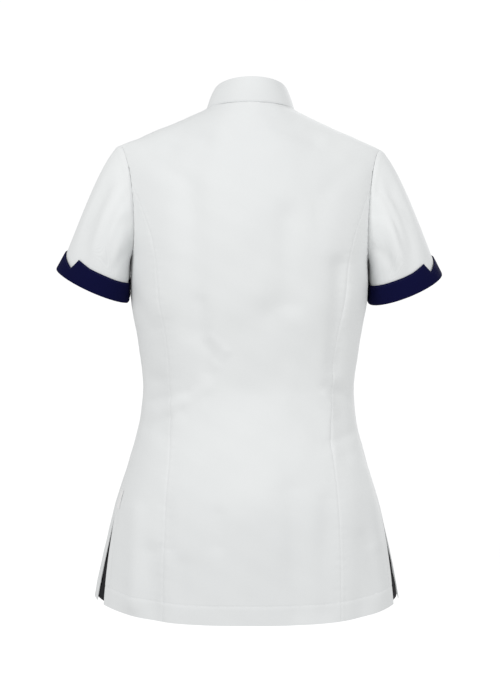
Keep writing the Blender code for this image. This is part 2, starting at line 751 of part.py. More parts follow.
def build_label(cloth):
    """Build the blank label beside the left side seam."""
    def seam_edge(level):
        return shifted(side_seam(level), level, -MM)

    def free_edge(level):
        return shifted(side_seam(level), level, -MM - LABEL_WIDTH)

    bottom, top = level_at(SIDE_ANGLE, LABEL_BOTTOM_Z), level_at(SIDE_ANGLE, LABEL_TOP_Z)
    cloth_solid("side_label", even(3), [mix(bottom, top, share) for share in even(2)],
                body_wall(seam_edge, free_edge, lift=LABEL_GAP + LABEL_WALL, wall=LABEL_WALL), cloth)


def main():
    """Clear the scene and build the tunic."""
    for item in list(bpy.data.objects):
        bpy.data.objects.remove(item, do_unlink=True)
    white = make_material("white_cloth", (0.80, 0.81, 0.81), 0.85)
    navy = make_material("navy_cloth", (0.008, 0.008, 0.045), 0.85)
    dark = make_material("dark_cloth", (0.02, 0.02, 0.025), 0.9)
    plastic = make_material("white_plastic", (0.78, 0.78, 0.77), 0.4)
    build_body(white)
    build_sleeves(white, navy)
    build_collar(white)
    build_opening(white, plastic)
    build_vent_inserts(dark)
    build_label(white)


main()
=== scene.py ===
"""Looks of a short-sleeved medical tunic, worn and seen from behind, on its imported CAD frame.

Metres, +Z up. The wearer faces -Y, and the wearer's left is +X. The body and the sleeves
have the form of the solids, on finer nets: an angle goes round the body, 0 at the centre
back, 90 at the wearer's left side, 180 at the centre front and negative on the right, and
a level goes up it, -1 at the hem, 0 at the underarm, 1 at the neckline and shoulders. A
turn goes round a sleeve, 0 on its outer side, 90 behind, 180 below and 270 in front.
"""

import logging
import math
from dataclasses import dataclass, field
from enum import Enum
from typing import Callable, NamedTuple, Sequence

import bmesh
import bpy
import numpy as np
from mathutils import Matrix, Vector


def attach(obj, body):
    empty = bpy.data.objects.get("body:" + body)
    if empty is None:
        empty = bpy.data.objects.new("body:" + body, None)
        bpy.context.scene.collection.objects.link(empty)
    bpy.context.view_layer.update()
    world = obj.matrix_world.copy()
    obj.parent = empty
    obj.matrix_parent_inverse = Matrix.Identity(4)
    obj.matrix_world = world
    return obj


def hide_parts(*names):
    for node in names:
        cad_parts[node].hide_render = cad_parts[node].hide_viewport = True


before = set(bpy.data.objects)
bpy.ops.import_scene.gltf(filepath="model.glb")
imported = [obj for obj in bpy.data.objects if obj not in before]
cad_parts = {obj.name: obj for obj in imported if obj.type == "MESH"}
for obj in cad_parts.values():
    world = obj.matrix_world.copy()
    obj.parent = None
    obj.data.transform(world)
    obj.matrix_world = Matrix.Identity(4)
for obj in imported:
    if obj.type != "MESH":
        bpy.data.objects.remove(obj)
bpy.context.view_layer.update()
LOG = logging.getLogger("tunic")
BODY = "root"
MM = 0.001
Colour = tuple[float, float, float]
# The waves that sewing draws up: a long one, in whose dips the middle one calms and the short one grows
RIPPLE_LENGTHS = (0.041, 0.0133, 0.0079)
RIPPLE_SEEDS = (1.0, 2.1, 3.7)
RIPPLE_HEIGHTS = (0.6, 0.35)
RIPPLE_CALM = 0.8
# How far a sleeve's folds run on past their ends, as a share of the sleeve
SLEEVE_FOLD_FADE = 0.15


class Side(Enum):
    """A side of the wearer."""

    LEFT = 1
    RIGHT = -1

    @property
    def word(self) -> str:
        """Return the side as it stands in the names of pieces."""
        return self.name.lower()


class Held(Enum):
    HUNG = "hung"
    FOLDED = "folded"
    LAID = "laid"


class Slot(Enum):
    """The record's material slots."""

    WHITE_CLOTH = "white_cloth"
    NAVY_CLOTH = "navy_cloth"
    # dark_cloth holds the dark sheets behind the vents, which are painted shade
    DARK_CLOTH = "dark_cloth"
    LABEL_CLOTH = "label_cloth"
    PRESS_STUD = "press_stud"


class Section(NamedTuple):
    """A level section of the body: its height, half width, and depths behind and in front."""

    z: float
    half_width: float
    back: float
    front: float


class SeamPoint(NamedTuple):
    """How far a back princess seam lies from the middle at a height."""

    z: float
    x: float


class Crest(NamedTuple):
    """Where the cloth turns in below an edge, and how deep it still is there."""

    drop: float
    reach: float


class Fold(NamedTuple):
    """A soft trough (minus) or ridge (plus) along a short line on the back or front."""

    x0: float
    z0: float
    x1: float
    z1: float
    width: float
    depth: float


class SleeveFold(NamedTuple):
    """A soft trough or ridge along a line on a sleeve, its width in degrees."""

    turn0: float
    along0: float
    turn1: float
    along1: float
    width: float
    depth: float


class SleeveStart(NamedTuple):
    """How a sleeve leaves its armhole at a turn, and how it runs into its end."""

    turn: float
    direction: tuple[float, float, float]
    reach: float
    end_reach: float


class CuffCorner(NamedTuple):
    """A corner of the cuff's top edge: its turn, and its rise over the plain height."""

    turn: float
    rise: float


class Welt(NamedTuple):
    """A small ridge (plus) or groove (minus) along an edge, all in millimetres."""

    height: float
    inset: float
    width: float

    def over(self, distance: np.ndarray) -> np.ndarray:
        """Return its lift at distances from the edge, in metres."""
        return self.height * MM * hump(distance, self.inset * MM, self.width * MM)


class Drift(NamedTuple):
    """A slight wandering of cloth: its height in millimetres and its two crossed waves.

    A wave is what a metre across, a metre up and one of the seed add to its phase.
    """

    height: float
    first: tuple[float, float, float]
    second: tuple[float, float, float]


class Lamp(NamedTuple):
    """A square soft light: its name, its place, its size in metres and its power in watts."""

    name: str
    place: tuple[float, float, float]
    size: float
    power: float


def mix(a, b, share: float):
    """Return the value or point that lies the given share of the way from a to b."""
    return a + (b - a) * share


def ease(value: float, low: float, high: float) -> float:
    """Return 0 below low and 1 above high, with a soft rise between."""
    share = min(max((value - low) / (high - low), 0.0), 1.0)
    return share * share * (3 - 2 * share)


def soft_step(values: np.ndarray, low: float, high: float) -> np.ndarray:
    """Return 0 below low and 1 above high for each value, with a soft rise between."""
    share = np.clip((values - low) / (high - low), 0, 1)
    return share * share * (3 - 2 * share)


def hump(values: np.ndarray, centre: float, width: float) -> np.ndarray:
    """Return a soft hump of height 1 round a centre."""
    return np.exp(-(((values - centre) / width) ** 2))


def signed_power(value: float, power: float) -> float:
    """Return a power of the value that keeps its sign."""
    return math.copysign(abs(value) ** power, value)


def bezier(p0, p1, p2, p3, share: float):
    """Return a point of a cubic curve."""
    rest = 1 - share
    inner = 3 * rest ** 2 * share * p1 + 3 * rest * share ** 2 * p2
    return rest ** 3 * p0 + inner + share ** 3 * p3


def even(count: int) -> list[float]:
    """Return count + 1 stops from 0 to 1."""
    return [i / count for i in range(count + 1)]


def smooth_row(rows: Sequence[NamedTuple], z: float) -> list[float]:
    """Read a table of falling heights on a smooth curve through its rows.

    Args:
        rows: The table, with the height first in each row.
        z: The height to read it at.

    Returns:
        The other columns at that height.
    """
    last = len(rows) - 2
    k = next((i for i in range(last) if z >= rows[i + 1].z), last)
    low, high = rows[k], rows[k + 1]
    span = high.z - low.z
    share = (z - low.z) / span
    before, after = rows[max(k - 1, 0)], rows[min(k + 2, last + 1)]
    rise = 3 * share ** 2 - 2 * share ** 3
    values = []
    for column in range(1, len(low)):
        slope_low = (high[column] - before[column]) / (high.z - before.z) * span
        slope_high = (after[column] - low[column]) / (after.z - low.z) * span
        value = (1 - rise) * low[column] + rise * high[column]
        value += (share ** 3 - 2 * share ** 2 + share) * slope_low
        values.append(value + (share ** 3 - share ** 2) * slope_high)
    return values


def wave(distance: np.ndarray, length: float, start: float) -> np.ndarray:
    """Return a plain wave of a length in metres."""
    return np.sin(distance * math.tau / length + start)


def ripple(distance: np.ndarray, seed: float) -> np.ndarray:
    """Return the uneven small waves that sewing draws up along a seam.

    Args:
        distance: Metres along the seam.
        seed: A number that makes each seam's waves its own.

    Returns:
        Heights between about -1 and 1.
    """
    long_wave, middle, short = (wave(distance, length, seed * spread)
                                for length, spread in zip(RIPPLE_LENGTHS, RIPPLE_SEEDS))
    calm = (1 - long_wave) / 2
    return RIPPLE_HEIGHTS[0] * middle * (1 - RIPPLE_CALM * calm) + RIPPLE_HEIGHTS[1] * short * calm


def run_along(points: np.ndarray) -> np.ndarray:
    """Return how far each point of a row lies along it."""
    return np.concatenate(([0.0], np.cumsum(np.linalg.norm(np.diff(points, axis=0), axis=1))))


def halve(is_below: Callable[[float], bool], low: float, high: float, rounds: int) -> float:
    """Return the value at which a test turns false, found by halving.

    Args:
        is_below: The test, true at low and false at high.
        low: A value below the one sought.
        high: A value above it.
        rounds: How many times the span is halved.

    Returns:
        The last middle value.
    """
    for _ in range(rounds):
        middle = (low + high) / 2
        if is_below(middle):
            low = middle
        else:
            high = middle
    return middle


def fold_field(folds: Sequence[Fold], x: np.ndarray, z: np.ndarray) -> np.ndarray:
    """Return how far folds lift the cloth.

    Args:
        folds: The troughs and ridges.
        x: Places across the wearer.
        z: Heights.

    Returns:
        The lift at each place.
    """
    total = np.zeros_like(x)
    for fold in folds:
        run = np.array((fold.x1 - fold.x0, fold.z1 - fold.z0))
        across, up = x - fold.x0, z - fold.z0
        share = np.clip((across * run[0] + up * run[1]) / run.dot(run), 0, 1)
        far = (across - share * run[0]) ** 2 + (up - share * run[1]) ** 2
        total += fold.depth * np.exp(-far / fold.width ** 2)
    return total


def sleeve_lift(folds: Sequence[SleeveFold], turn: np.ndarray, along: np.ndarray) -> np.ndarray:
    """Return how far folds lift the cloth of a sleeve.

    Args:
        folds: The troughs and ridges.
        turn: Turns round the sleeve.
        along: Places along it.

    Returns:
        The lift at each place.
    """
    total = 0.0
    for fold in folds:
        share = np.clip((along - fold.along0) / (fold.along1 - fold.along0), 0, 1)
        across = (turn - mix(fold.turn0, fold.turn1, share) + 180) % 360 - 180
        beyond = (along - mix(fold.along0, fold.along1, share)) / SLEEVE_FOLD_FADE
        total = total + fold.depth * np.exp(-(across / fold.width) ** 2 - beyond ** 2)
    return total


def folds_in_mm(*rows: tuple[float, ...]) -> tuple[Fold, ...]:
    """Return folds from rows of millimetres."""
    return tuple(Fold(*(value / 1000 for value in row)) for row in rows)


def sleeve_folds(*rows: tuple[float, ...]) -> tuple[SleeveFold, ...]:
    """Return sleeve folds from rows with the depth in millimetres."""
    return tuple(SleeveFold(*row[:-1], row[-1] / 1000) for row in rows)


# The main folds, which the solids have too
BACK_FOLDS = folds_in_mm(
    (84, -140, 78, -310, 22, -2.5), (-44, -150, -46, -265, 20, -2.2),
    (-118, -215, -112, -355, 14, -2.8), (126, -378, 122, -440, 14, -3),
    (-120, -390, -128, -468, 14, -3), (10, -450, 0, -540, 55, 4), (152, -545, 156, -665, 11, 3.5),
    (134, -600, 128, -690, 14, -3), (-150, -580, -146, -690, 14, -2.5), (75, -22, 100, -55, 12, -1.5),
    (-52, -12, -85, -50, 13, -1.8),
)
FRONT_FOLDS = folds_in_mm(
    (82, -290, 70, -372, 20, -3), (-78, -300, -72, -378, 22, -2.8), (112, -360, 118, -440, 16, -2.8),
    (-110, -368, -120, -430, 15, -3), (98, -545, 108, -690, 20, 3.2), (-104, -560, -112, -690, 18, 3),
)
SLEEVE_FOLDS = {
    Side.LEFT: sleeve_folds(
        (38, 0.42, 50, 0.86, 13, -3.2), (62, 0.45, 74, 0.9, 9, 2.8), (96, 0.3, 100, 0.8, 12, -3),
        (285, 0.35, 300, 0.85, 14, -3),
    ),
    Side.RIGHT: sleeve_folds(
        (45, 0.32, 66, 0.8, 12, -3.4), (84, 0.4, 92, 0.92, 9, 3), (108, 0.4, 112, 0.8, 10, -2.4),
        (292, 0.4, 304, 0.88, 13, -3),
    ),
}
# The finer creases that only the cloth shows
BACK_CREASES = folds_in_mm(
    (-24, -285, -98, -446, 23, -4.2), (55, -314, 36, -332, 6, 0.9), (36, -334, 46, -352, 6, 0.7),
    (64, -326, 44, -347, 7, -0.9), (140, -402, 88, -389, 8, -1.4), (137, -437, 95, -414, 8, -1.2),
    (124, -416, 60, -382, 8, 1.2), (-142, -400, -101, -380, 8, -1.4), (-139, -442, -105, -455, 8, -1.2),
    (-98, -390, -112, -414, 6, 1.1), (150, -45, 112, -62, 11, -1.5), (-120, -50, -158, -68, 13, -1.5),
    (137, -69, 88, -110, 12, -1.4), (-139, -75, -98, -118, 12, -1.2), (95, -34, 66, -52, 12, -2.4),
    (-34, -30, -82, -46, 12, -2.4), (-20, -12, -58, -20, 9, -1.8), (20, -55, -18, -60, 9, -1.2),
    (120, -300, 128, -365, 12, -1.8), (70, -270, 60, -360, 10, -1.6),
    (-158, -590, -165, -650, 10, -1.5), (83, -130, 78, -300, 18, -2), (-40, -160, -46, -270, 16, -2.2),
    (-114, -220, -110, -345, 12, -1.7), (18, -170, 20, -280, 22, 1.2), (116, -535, 113, -588, 12, -1.8),
    (45, -546, 46, -584, 11, -1.8), (93, -612, 94, -655, 12, -1.4), (-50, -515, -60, -670, 16, -3.2),
    (-98, -530, -94, -670, 14, -1.8), (-163, -490, -170, -590, 11, 2), (168, -245, 134, -304, 9, -1.4),
    (-168, -242, -142, -300, 9, -1.4),
)
FRONT_CREASES = folds_in_mm(
    (138, -398, 94, -386, 7, -1), (134, -434, 98, -416, 7, -0.8), (-140, -404, -98, -392, 7, -1),
    (-130, -440, -100, -446, 7, -0.9), (166, -240, 128, -262, 8, -0.9), (-164, -236, -126, -252, 8, -1),
    (50, -330, 34, -400, 13, -0.9), (-44, -336, -38, -410, 14, -0.9), (60, -560, 66, -680, 12, -1),
    (-58, -570, -70, -680, 13, -1), (120, -100, 94, -170, 12, -0.8), (-122, -96, -90, -160, 12, -0.8),
)
SLEEVE_CREASES = {
    Side.LEFT: sleeve_folds(
        (132, 0.15, 112, 0.72, 7, -1.7), (72, 0.12, 84, 0.48, 7, -1.5), (20, 0.3, 28, 0.8, 8, 0.8),
        (46, 0.1, 34, 0.55, 9, -1.8), (100, 0.06, 84, 0.3, 8, -1.2), (84, 0.5, 88, 0.85, 5, 0.7),
        (300, 0.2, 316, 0.7, 8, 1), (250, 0.15, 268, 0.7, 7, -1.1),
    ),
    Side.RIGHT: sleeve_folds(
        (126, 0.12, 106, 0.6, 7, -1.7), (58, 0.15, 72, 0.52, 7, -1.6), (22, 0.25, 36, 0.74, 8, 0.9),
        (60, 0.05, 36, 0.45, 9, -2), (84, 0.08, 66, 0.36, 7, -1.4), (98, 0.45, 102, 0.85, 5, 0.6),
        (312, 0.25, 326, 0.75, 8, 1), (256, 0.18, 270, 0.66, 7, -1.1),
    ),
}


@dataclass
class BodyForm:
    """The outer surface of the body cloth, and the lines that its panels meet on."""

    sections: tuple[Section, ...] = (
        Section(-0.150, 0.1660, 0.115, 0.110),
        Section(-0.205, 0.1630, 0.113, 0.124),
        Section(-0.262, 0.1625, 0.110, 0.134),
        Section(-0.317, 0.1530, 0.103, 0.123),
        Section(-0.367, 0.1460, 0.097, 0.108),
        Section(-0.392, 0.1455, 0.096, 0.102),
        Section(-0.433, 0.1500, 0.102, 0.106),
        Section(-0.483, 0.1635, 0.115, 0.113),
        Section(-0.533, 0.1790, 0.128, 0.119),
        Section(-0.582, 0.1910, 0.133, 0.122),
        Section(-0.632, 0.2020, 0.135, 0.124),
        Section(-0.676, 0.2100, 0.136, 0.125),
        Section(-0.720, 0.2170, 0.137, 0.126),
    )
    princess_line: tuple[SeamPoint, ...] = (
        SeamPoint(-0.060, 0.190), SeamPoint(-0.094, 0.171), SeamPoint(-0.124, 0.1556),
        SeamPoint(-0.156, 0.144), SeamPoint(-0.179, 0.136), SeamPoint(-0.211, 0.130),
        SeamPoint(-0.262, 0.1255), SeamPoint(-0.304, 0.1185), SeamPoint(-0.345, 0.112),
        SeamPoint(-0.400, 0.109), SeamPoint(-0.469, 0.109), SeamPoint(-0.538, 0.1145),
        SeamPoint(-0.621, 0.1165), SeamPoint(-0.720, 0.1165),
    )
    roundness: float = 2 / 2.3
    underarm_z: float = -0.205
    hem_side_z: float = -0.6675
    hem_dip: float = 0.0209
    hem_bend: int = 3
    neck_half_width: float = 0.061
    neck_side_y: float = -0.005
    neck_back_reach: float = 0.063
    neck_front_reach: float = 0.070
    neck_back_rise: float = 0.003
    neck_front_drop: float = 0.065
    neck_front_bend: float = 1.3
    neck_angle: float = 30
    shoulder_x: float = 0.180
    shoulder_z: float = -0.052
    back_neck_crest: Crest = Crest(0.056, 0.75)
    front_neck_crest: Crest = Crest(0.045, 0.50)
    shoulder_crest: Crest = Crest(0.05, 0.75)
    upper_rise: float = 0.4
    upper_lean: tuple[float, float] = (0.45, 0.9)
    side_fullness: tuple[float, float] = (0.0015, 0.004)
    side_bend: int = 4
    armhole_spacing: float = 1.8
    armhole_in_back: float = 20
    armhole_in_front: float = 27
    armhole_low_bend: float = 0.3
    armhole_high_bend: float = 0.6
    princess_tip_level: float = 0.75 ** 1.8
    princess_tip: float = 1.0 * MM
    side_angle: float = 90
    side_drift: float = 14
    vent_top: float = -0.75
    vent_back_swing: float = 0.023
    left_vent_front_swing: float = 0.002
    right_vent_front_swing: float = 0.010
    placket_half_width: float = 0.016
    fold_side_fade: tuple[float, float] = (0.02, 0.15)
    fold_turn_back: float = 2
    angle_step: float = 0.4
    level_step: float = 0.01
    level_rounds: int = 30
    princess_span: tuple[float, float] = (5.0, 90.0)
    princess_rounds: int = 34
    corner_play: float = 0.01
    princess_angles: dict[float, float] = field(default_factory=dict)

    def ring_point(self, angle: float, z: float) -> Vector:
        """Return the point of the level section at a height, before folds.

        Args:
            angle: The angle round the body.
            z: The height.

        Returns:
            The point.
        """
        half_width, back, front = smooth_row(self.sections, z)
        sine, cosine = math.sin(math.radians(angle)), math.cos(math.radians(angle))
        depth = back if cosine >= 0 else front
        return Vector((half_width * signed_power(sine, self.roundness),
                       depth * signed_power(cosine, self.roundness), z))

    @staticmethod
    def from_centre(angle: float | np.ndarray) -> float | np.ndarray:
        """Return the angle from the nearer centre line, 0 there and 90 at the side."""
        return 90 - abs(90 - abs(angle))

    def top_edge(self, angle: float) -> Vector:
        """Return the neckline near the middle and the shoulder seam beyond it.

        Args:
            angle: The angle round the body.

        Returns:
            The point of the edge.
        """
        lean = self.from_centre(angle)
        behind = abs(angle) <= 90
        side = 1 if angle >= 0 else -1
        if lean > self.neck_angle:
            corner = math.sin(math.radians(self.neck_angle)) ** self.roundness
            share = (math.sin(math.radians(lean)) ** self.roundness - corner) / (1 - corner)
            x = mix(self.neck_half_width, self.shoulder_x, share)
            y, z = mix(self.neck_side_y, 0, share), self.shoulder_z * share
        else:
            turn = lean / self.neck_angle * math.pi / 2
            deep = math.cos(turn)
            x = self.neck_half_width * math.sin(turn)
            y = self.neck_side_y + (self.neck_back_reach if behind else -self.neck_front_reach) * deep
            z = self.neck_back_rise * deep
            if not behind:
                z = -self.neck_front_drop * max(deep, 0) ** self.neck_front_bend
        return Vector((side * x, y, z))

    def upper_point(self, angle: float, level: float) -> Vector:
        """Return a point between the underarm section and the neck or shoulder.

        Args:
            angle: The angle round the body.
            level: The level up it.

        Returns:
            The point, before folds.
        """
        behind = abs(angle) <= 90
        lean = self.from_centre(angle)
        low, high = self.ring_point(angle, self.underarm_z), self.top_edge(angle)
        slope = (self.ring_point(angle, self.underarm_z + MM) - low) / MM
        to_side = (lean / 90) ** self.side_bend
        on_shoulder = ease(lean, 0, self.neck_angle)
        neck = self.back_neck_crest if behind else self.front_neck_crest
        drop = mix(neck.drop, self.shoulder_crest.drop * abs(low.y - high.y), on_shoulder)
        reach = mix(neck.reach, self.shoulder_crest.reach, on_shoulder)
        side = 1 if angle >= 0 else -1
        start = low + slope * self.upper_rise * (high.z - low.z)
        start.x = mix(low.x, high.x, self.upper_lean[0]) + side * self.side_fullness[0] * to_side
        end_x = mix(low.x, high.x, self.upper_lean[1]) + side * self.side_fullness[1] * to_side
        end = Vector((end_x, mix(high.y, low.y, reach), high.z - drop))
        return bezier(low, start, end, high, level)

    def point(self, angle: float, level: float) -> Vector:
        """Return a point of the surface, with the main folds.

        Args:
            angle: The angle round the body, in degrees.
            level: The level up it.

        Returns:
            The point, in metres.
        """
        angle = (angle + 180) % 360 - 180
        if level <= 0:
            hem = self.hem_side_z - self.hem_dip * (1 - abs(math.sin(math.radians(angle))) ** self.hem_bend)
            point = self.ring_point(angle, mix(self.underarm_z, hem, -level))
        else:
            point = self.upper_point(angle, min(level, 1.0))
        total = 0.0
        for fold in BACK_FOLDS if abs(angle) <= 90 else FRONT_FOLDS:
            run_x, run_z = fold.x1 - fold.x0, fold.z1 - fold.z0
            across, up = point.x - fold.x0, point.z - fold.z0
            share = (across * run_x + up * run_z) / (run_x ** 2 + run_z ** 2)
            share = min(max(share, 0.0), 1.0)
            far = (across - share * run_x) ** 2 + (up - share * run_z) ** 2
            total += fold.depth * math.exp(-far / fold.width ** 2)
        outward = Vector((point.x, point.y * self.fold_turn_back, 0)).normalized()
        facing = math.cos(math.radians(angle)) ** 2
        return point + outward * total * ease(facing, *self.fold_side_fade)

    def normal(self, angle: float, level: float) -> Vector:
        """Return the outward direction of the surface.

        Args:
            angle: The angle round the body.
            level: The level up it.

        Returns:
            The direction, of length 1.
        """
        lean = self.from_centre((angle + 180) % 360 - 180)
        if level > 1 - self.level_step and lean >= self.neck_angle - self.corner_play:
            return self.ridge_way(angle)
        low, high = max(level - self.level_step, -1), min(level + self.level_step, 1)
        up = self.point(angle, high) - self.point(angle, low)
        step = self.angle_step
        round_ = self.point(angle + step, level) - self.point(angle - step, level)
        return up.cross(round_).normalized()

    def ridge_way(self, angle: float) -> Vector:
        """Return the way out at the shoulder line, where the back meets the front."""
        side = 1 if (angle + 180) % 360 >= 180 else -1
        width = self.shoulder_x - self.neck_half_width
        return Vector((-side * self.shoulder_z, 0, width)).normalized()

    def metres_per_degree(self, angle: float, level: float) -> float:
        """Return how much cloth one degree spans at a place."""
        step = self.angle_step
        return (self.point(angle + step, level) - self.point(angle - step, level)).length / (2 * step)

    def shifted(self, angle: float, level: float, distance: float) -> float:
        """Return an angle moved along the cloth by a distance in metres."""
        return angle + distance / self.metres_per_degree(angle, level)

    def placket_edge(self, level: float) -> float:
        """Return the angle of the placket's left edge."""
        return self.shifted(180, level, -self.placket_half_width)

    def level_at(self, angle: float, z: float) -> float:
        """Return the level at which the surface reaches a height."""
        return halve(lambda level: self.point(angle, level).z < z, -1.0, 1.0, self.level_rounds)

    def armhole_level(self, turn: float) -> float:
        """Return the level of the armhole, for a turn of 0 at the shoulder and 180 below."""
        return abs(1 - (turn % 360) / 180) ** self.armhole_spacing

    def armhole_angle(self, behind: bool, level: float) -> float:
        """Return the angle at which the armhole cuts the surface at a level.

        Args:
            behind: True for the back.
            level: The level up it.

        Returns:
            The angle.
        """
        low_bend, high_bend = self.armhole_low_bend, self.armhole_high_bend
        deepest = low_bend / (low_bend + high_bend)
        cut_in = (level / deepest) ** low_bend * ((1 - level) / (1 - deepest)) ** high_bend
        lean = 90 - (self.armhole_in_back if behind else self.armhole_in_front) * cut_in
        return lean if behind else 180 - lean

    def armhole_point(self, side: Side, turn: float) -> Vector:
        """Return a point of the armhole, going back from the shoulder."""
        level = self.armhole_level(turn)
        return self.point(side.value * self.armhole_angle(turn % 360 <= 180, level), level)

    def armhole_outward(self, side: Side, turn: float) -> Vector:
        """Return the direction that leads from the body cloth across the armhole seam.

        Args:
            side: The armhole's side.
            turn: The turn round it.

        Returns:
            The direction, of length 1.
        """
        level = self.armhole_level(turn)
        run = self.armhole_point(side, turn + 1) - self.armhole_point(side, turn - 1)
        normal = self.normal(side.value * self.armhole_angle(turn % 360 <= 180, level), level)
        return (run.cross(normal) * side.value).normalized()

    def side_seam(self, level: float) -> float:
        """Return the angle of the left side seam, which drifts back to the hem."""
        return self.side_angle - self.side_drift * ease(-level, 0, 1)

    def inside_princess(self, angle: float, level: float) -> bool:
        """Return whether a place lies nearer the middle than the princess line."""
        point = self.point(angle, level)
        return point.x < smooth_row(self.princess_line, point.z)[0]

    def princess_seam(self, level: float) -> float:
        """Return the angle of the left princess seam of the back.

        Args:
            level: The level up it.

        Returns:
            The angle.
        """
        if level not in self.princess_angles:
            angle = halve(lambda angle: self.inside_princess(angle, level), *self.princess_span,
                          self.princess_rounds)
            if level > 0:
                armhole = self.armhole_angle(True, level)
                angle = min(angle, self.shifted(armhole, level, -self.princess_tip))
            self.princess_angles[level] = angle
        return self.princess_angles[level]

    def vent_share(self, level: float) -> float:
        """Return 0 at the top of the vent and above, and 1 at the hem."""
        return max((self.vent_top - level) / (self.vent_top + 1), 0)

    def back_centre_edge(self, level: float) -> float:
        """Return the left edge of the middle back."""
        if level > self.princess_tip_level:
            return self.armhole_angle(True, level)
        return self.princess_seam(level)

    def side_back_outer_edge(self, level: float) -> float:
        """Return the edge of the side back towards the armhole, side seam or vent.

        Args:
            level: The level up it.

        Returns:
            The edge's angle.
        """
        if level > 0:
            return self.armhole_angle(True, level)
        swing = self.vent_back_swing * self.vent_share(level)
        return self.shifted(self.side_seam(level), level, -swing)

    def front_outer_edge(self, level: float, side: Side) -> float:
        """Return the edge of a front towards the armhole, side seam or vent.

        Args:
            level: The level up it.
            side: The front's side.

        Returns:
            The edge's angle.
        """
        if level > 0:
            return self.armhole_angle(False, level)
        swing = self.left_vent_front_swing if side is Side.LEFT else self.right_vent_front_swing
        return self.shifted(self.side_seam(level), level, swing * self.vent_share(level))

    def half_width_at(self, y: float, z: float) -> float:
        """Return how wide the body is at a depth, to keep the sleeves off it."""
        half_width, back, front = smooth_row(self.sections, min(z, self.underarm_z))
        share = min(abs(y) / (back if y >= 0 else front), 1)
        return half_width * max(1 - share ** (2 / self.roundness), 0) ** (self.roundness / 2)


class NodeGraph:
    """A material's nodes, added and joined one at a time."""

    NOISE_ROUGHNESS = 0.55
    WAVE_DISTORTION = 1.5
    BANDS_PER_UNIT = 10

    def __init__(self, name: str) -> None:
        """Start a material that has its shader and its output.

        Args:
            name: The material's name.
        """
        self.material = bpy.data.materials.new(name)
        self.material.use_nodes = True
        self.nodes = self.material.node_tree.nodes
        self.links = self.material.node_tree.links
        self.shader = self.nodes["Principled BSDF"]

    def add(self, kind: str, settings: dict | None = None, **inputs) -> bpy.types.Node:
        """Add a node.

        Args:
            kind: The node's type.
            settings: The node's own properties.
            **inputs: Values or sockets for its inputs, with _ for a space in a name.

        Returns:
            The node.
        """
        node = self.nodes.new(kind)
        for key, value in (settings or {}).items():
            setattr(node, key, value)
        for key, value in inputs.items():
            self.set(node, key.replace("_", " "), value)
        return node

    def set(self, node: bpy.types.Node, key: str, value) -> None:
        """Give an input of a node a value, or join a socket to it.

        Args:
            node: The node.
            key: The input's name.
            value: The value or socket.
        """
        socket = node.inputs[key]
        if isinstance(value, bpy.types.NodeSocket):
            self.links.new(value, socket)
        else:
            socket.default_value = value

    def noise(self, vector: bpy.types.NodeSocket, scale: float, detail: float = 2.0) -> bpy.types.NodeSocket:
        """Return soft noise of a scale, as a socket."""
        node = self.add("ShaderNodeTexNoise", Vector=vector, Scale=scale, Detail=detail,
                        Roughness=self.NOISE_ROUGHNESS)
        return node.outputs["Fac"]

    def waves(self, vector: bpy.types.NodeSocket, pitch: float, direction: str) -> bpy.types.NodeSocket:
        """Return bands of a pitch in metres, as a socket.

        Args:
            vector: Where the bands are read.
            pitch: Their pitch.
            direction: The way across them.

        Returns:
            The bands' socket.
        """
        lean = math.sqrt(2) if direction == "DIAGONAL" else 1
        node = self.add("ShaderNodeTexWave", {"bands_direction": direction}, Vector=vector,
                        Scale=math.tau / (self.BANDS_PER_UNIT * pitch * lean),
                        Distortion=self.WAVE_DISTORTION, Detail=2.0)
        return node.outputs["Fac"]

    def ramp(self, factor: bpy.types.NodeSocket, low: tuple[float, Colour],
             high: tuple[float, Colour]) -> bpy.types.NodeSocket:
        """Return a colour that runs from one to another as a factor rises.

        Args:
            factor: The factor.
            low: A place from 0 to 1 and the colour up to it.
            high: A place from 0 to 1 and the colour from it on.

        Returns:
            The colour's socket.
        """
        node = self.add("ShaderNodeValToRGB", Fac=factor)
        for element, (place, colour) in zip(node.color_ramp.elements, (low, high)):
            element.position = place
            element.color = (*colour, 1)
        return node.outputs["Color"]

    def bump(self, height: bpy.types.NodeSocket, distance: float, strength: float,
             below: bpy.types.NodeSocket | None = None) -> bpy.types.NodeSocket:
        """Return a bent surface direction, on top of another where there is one.

        Args:
            height: The height's socket.
            distance: The height of 1, in metres.
            strength: How much of it shows.
            below: The direction beneath.

        Returns:
            The direction's socket.
        """
        node = self.add("ShaderNodeBump", Height=height, Distance=distance, Strength=strength)
        if below is not None:
            self.links.new(below, node.inputs["Normal"])
        return node.outputs["Normal"]

    def spread(self, factor: bpy.types.NodeSocket, span: tuple[float, float]) -> bpy.types.NodeSocket:
        """Return a value that runs over a span as a factor rises."""
        node = self.add("ShaderNodeMapRange", Value=factor, To_Min=span[0], To_Max=span[1])
        return node.outputs["Result"]

    def shade(self, **inputs) -> bpy.types.Material:
        """Set inputs of the shader, with _ for a space in a name, and return the material."""
        for key, value in inputs.items():
            self.set(self.shader, key.replace("_", " "), value)
        return self.material


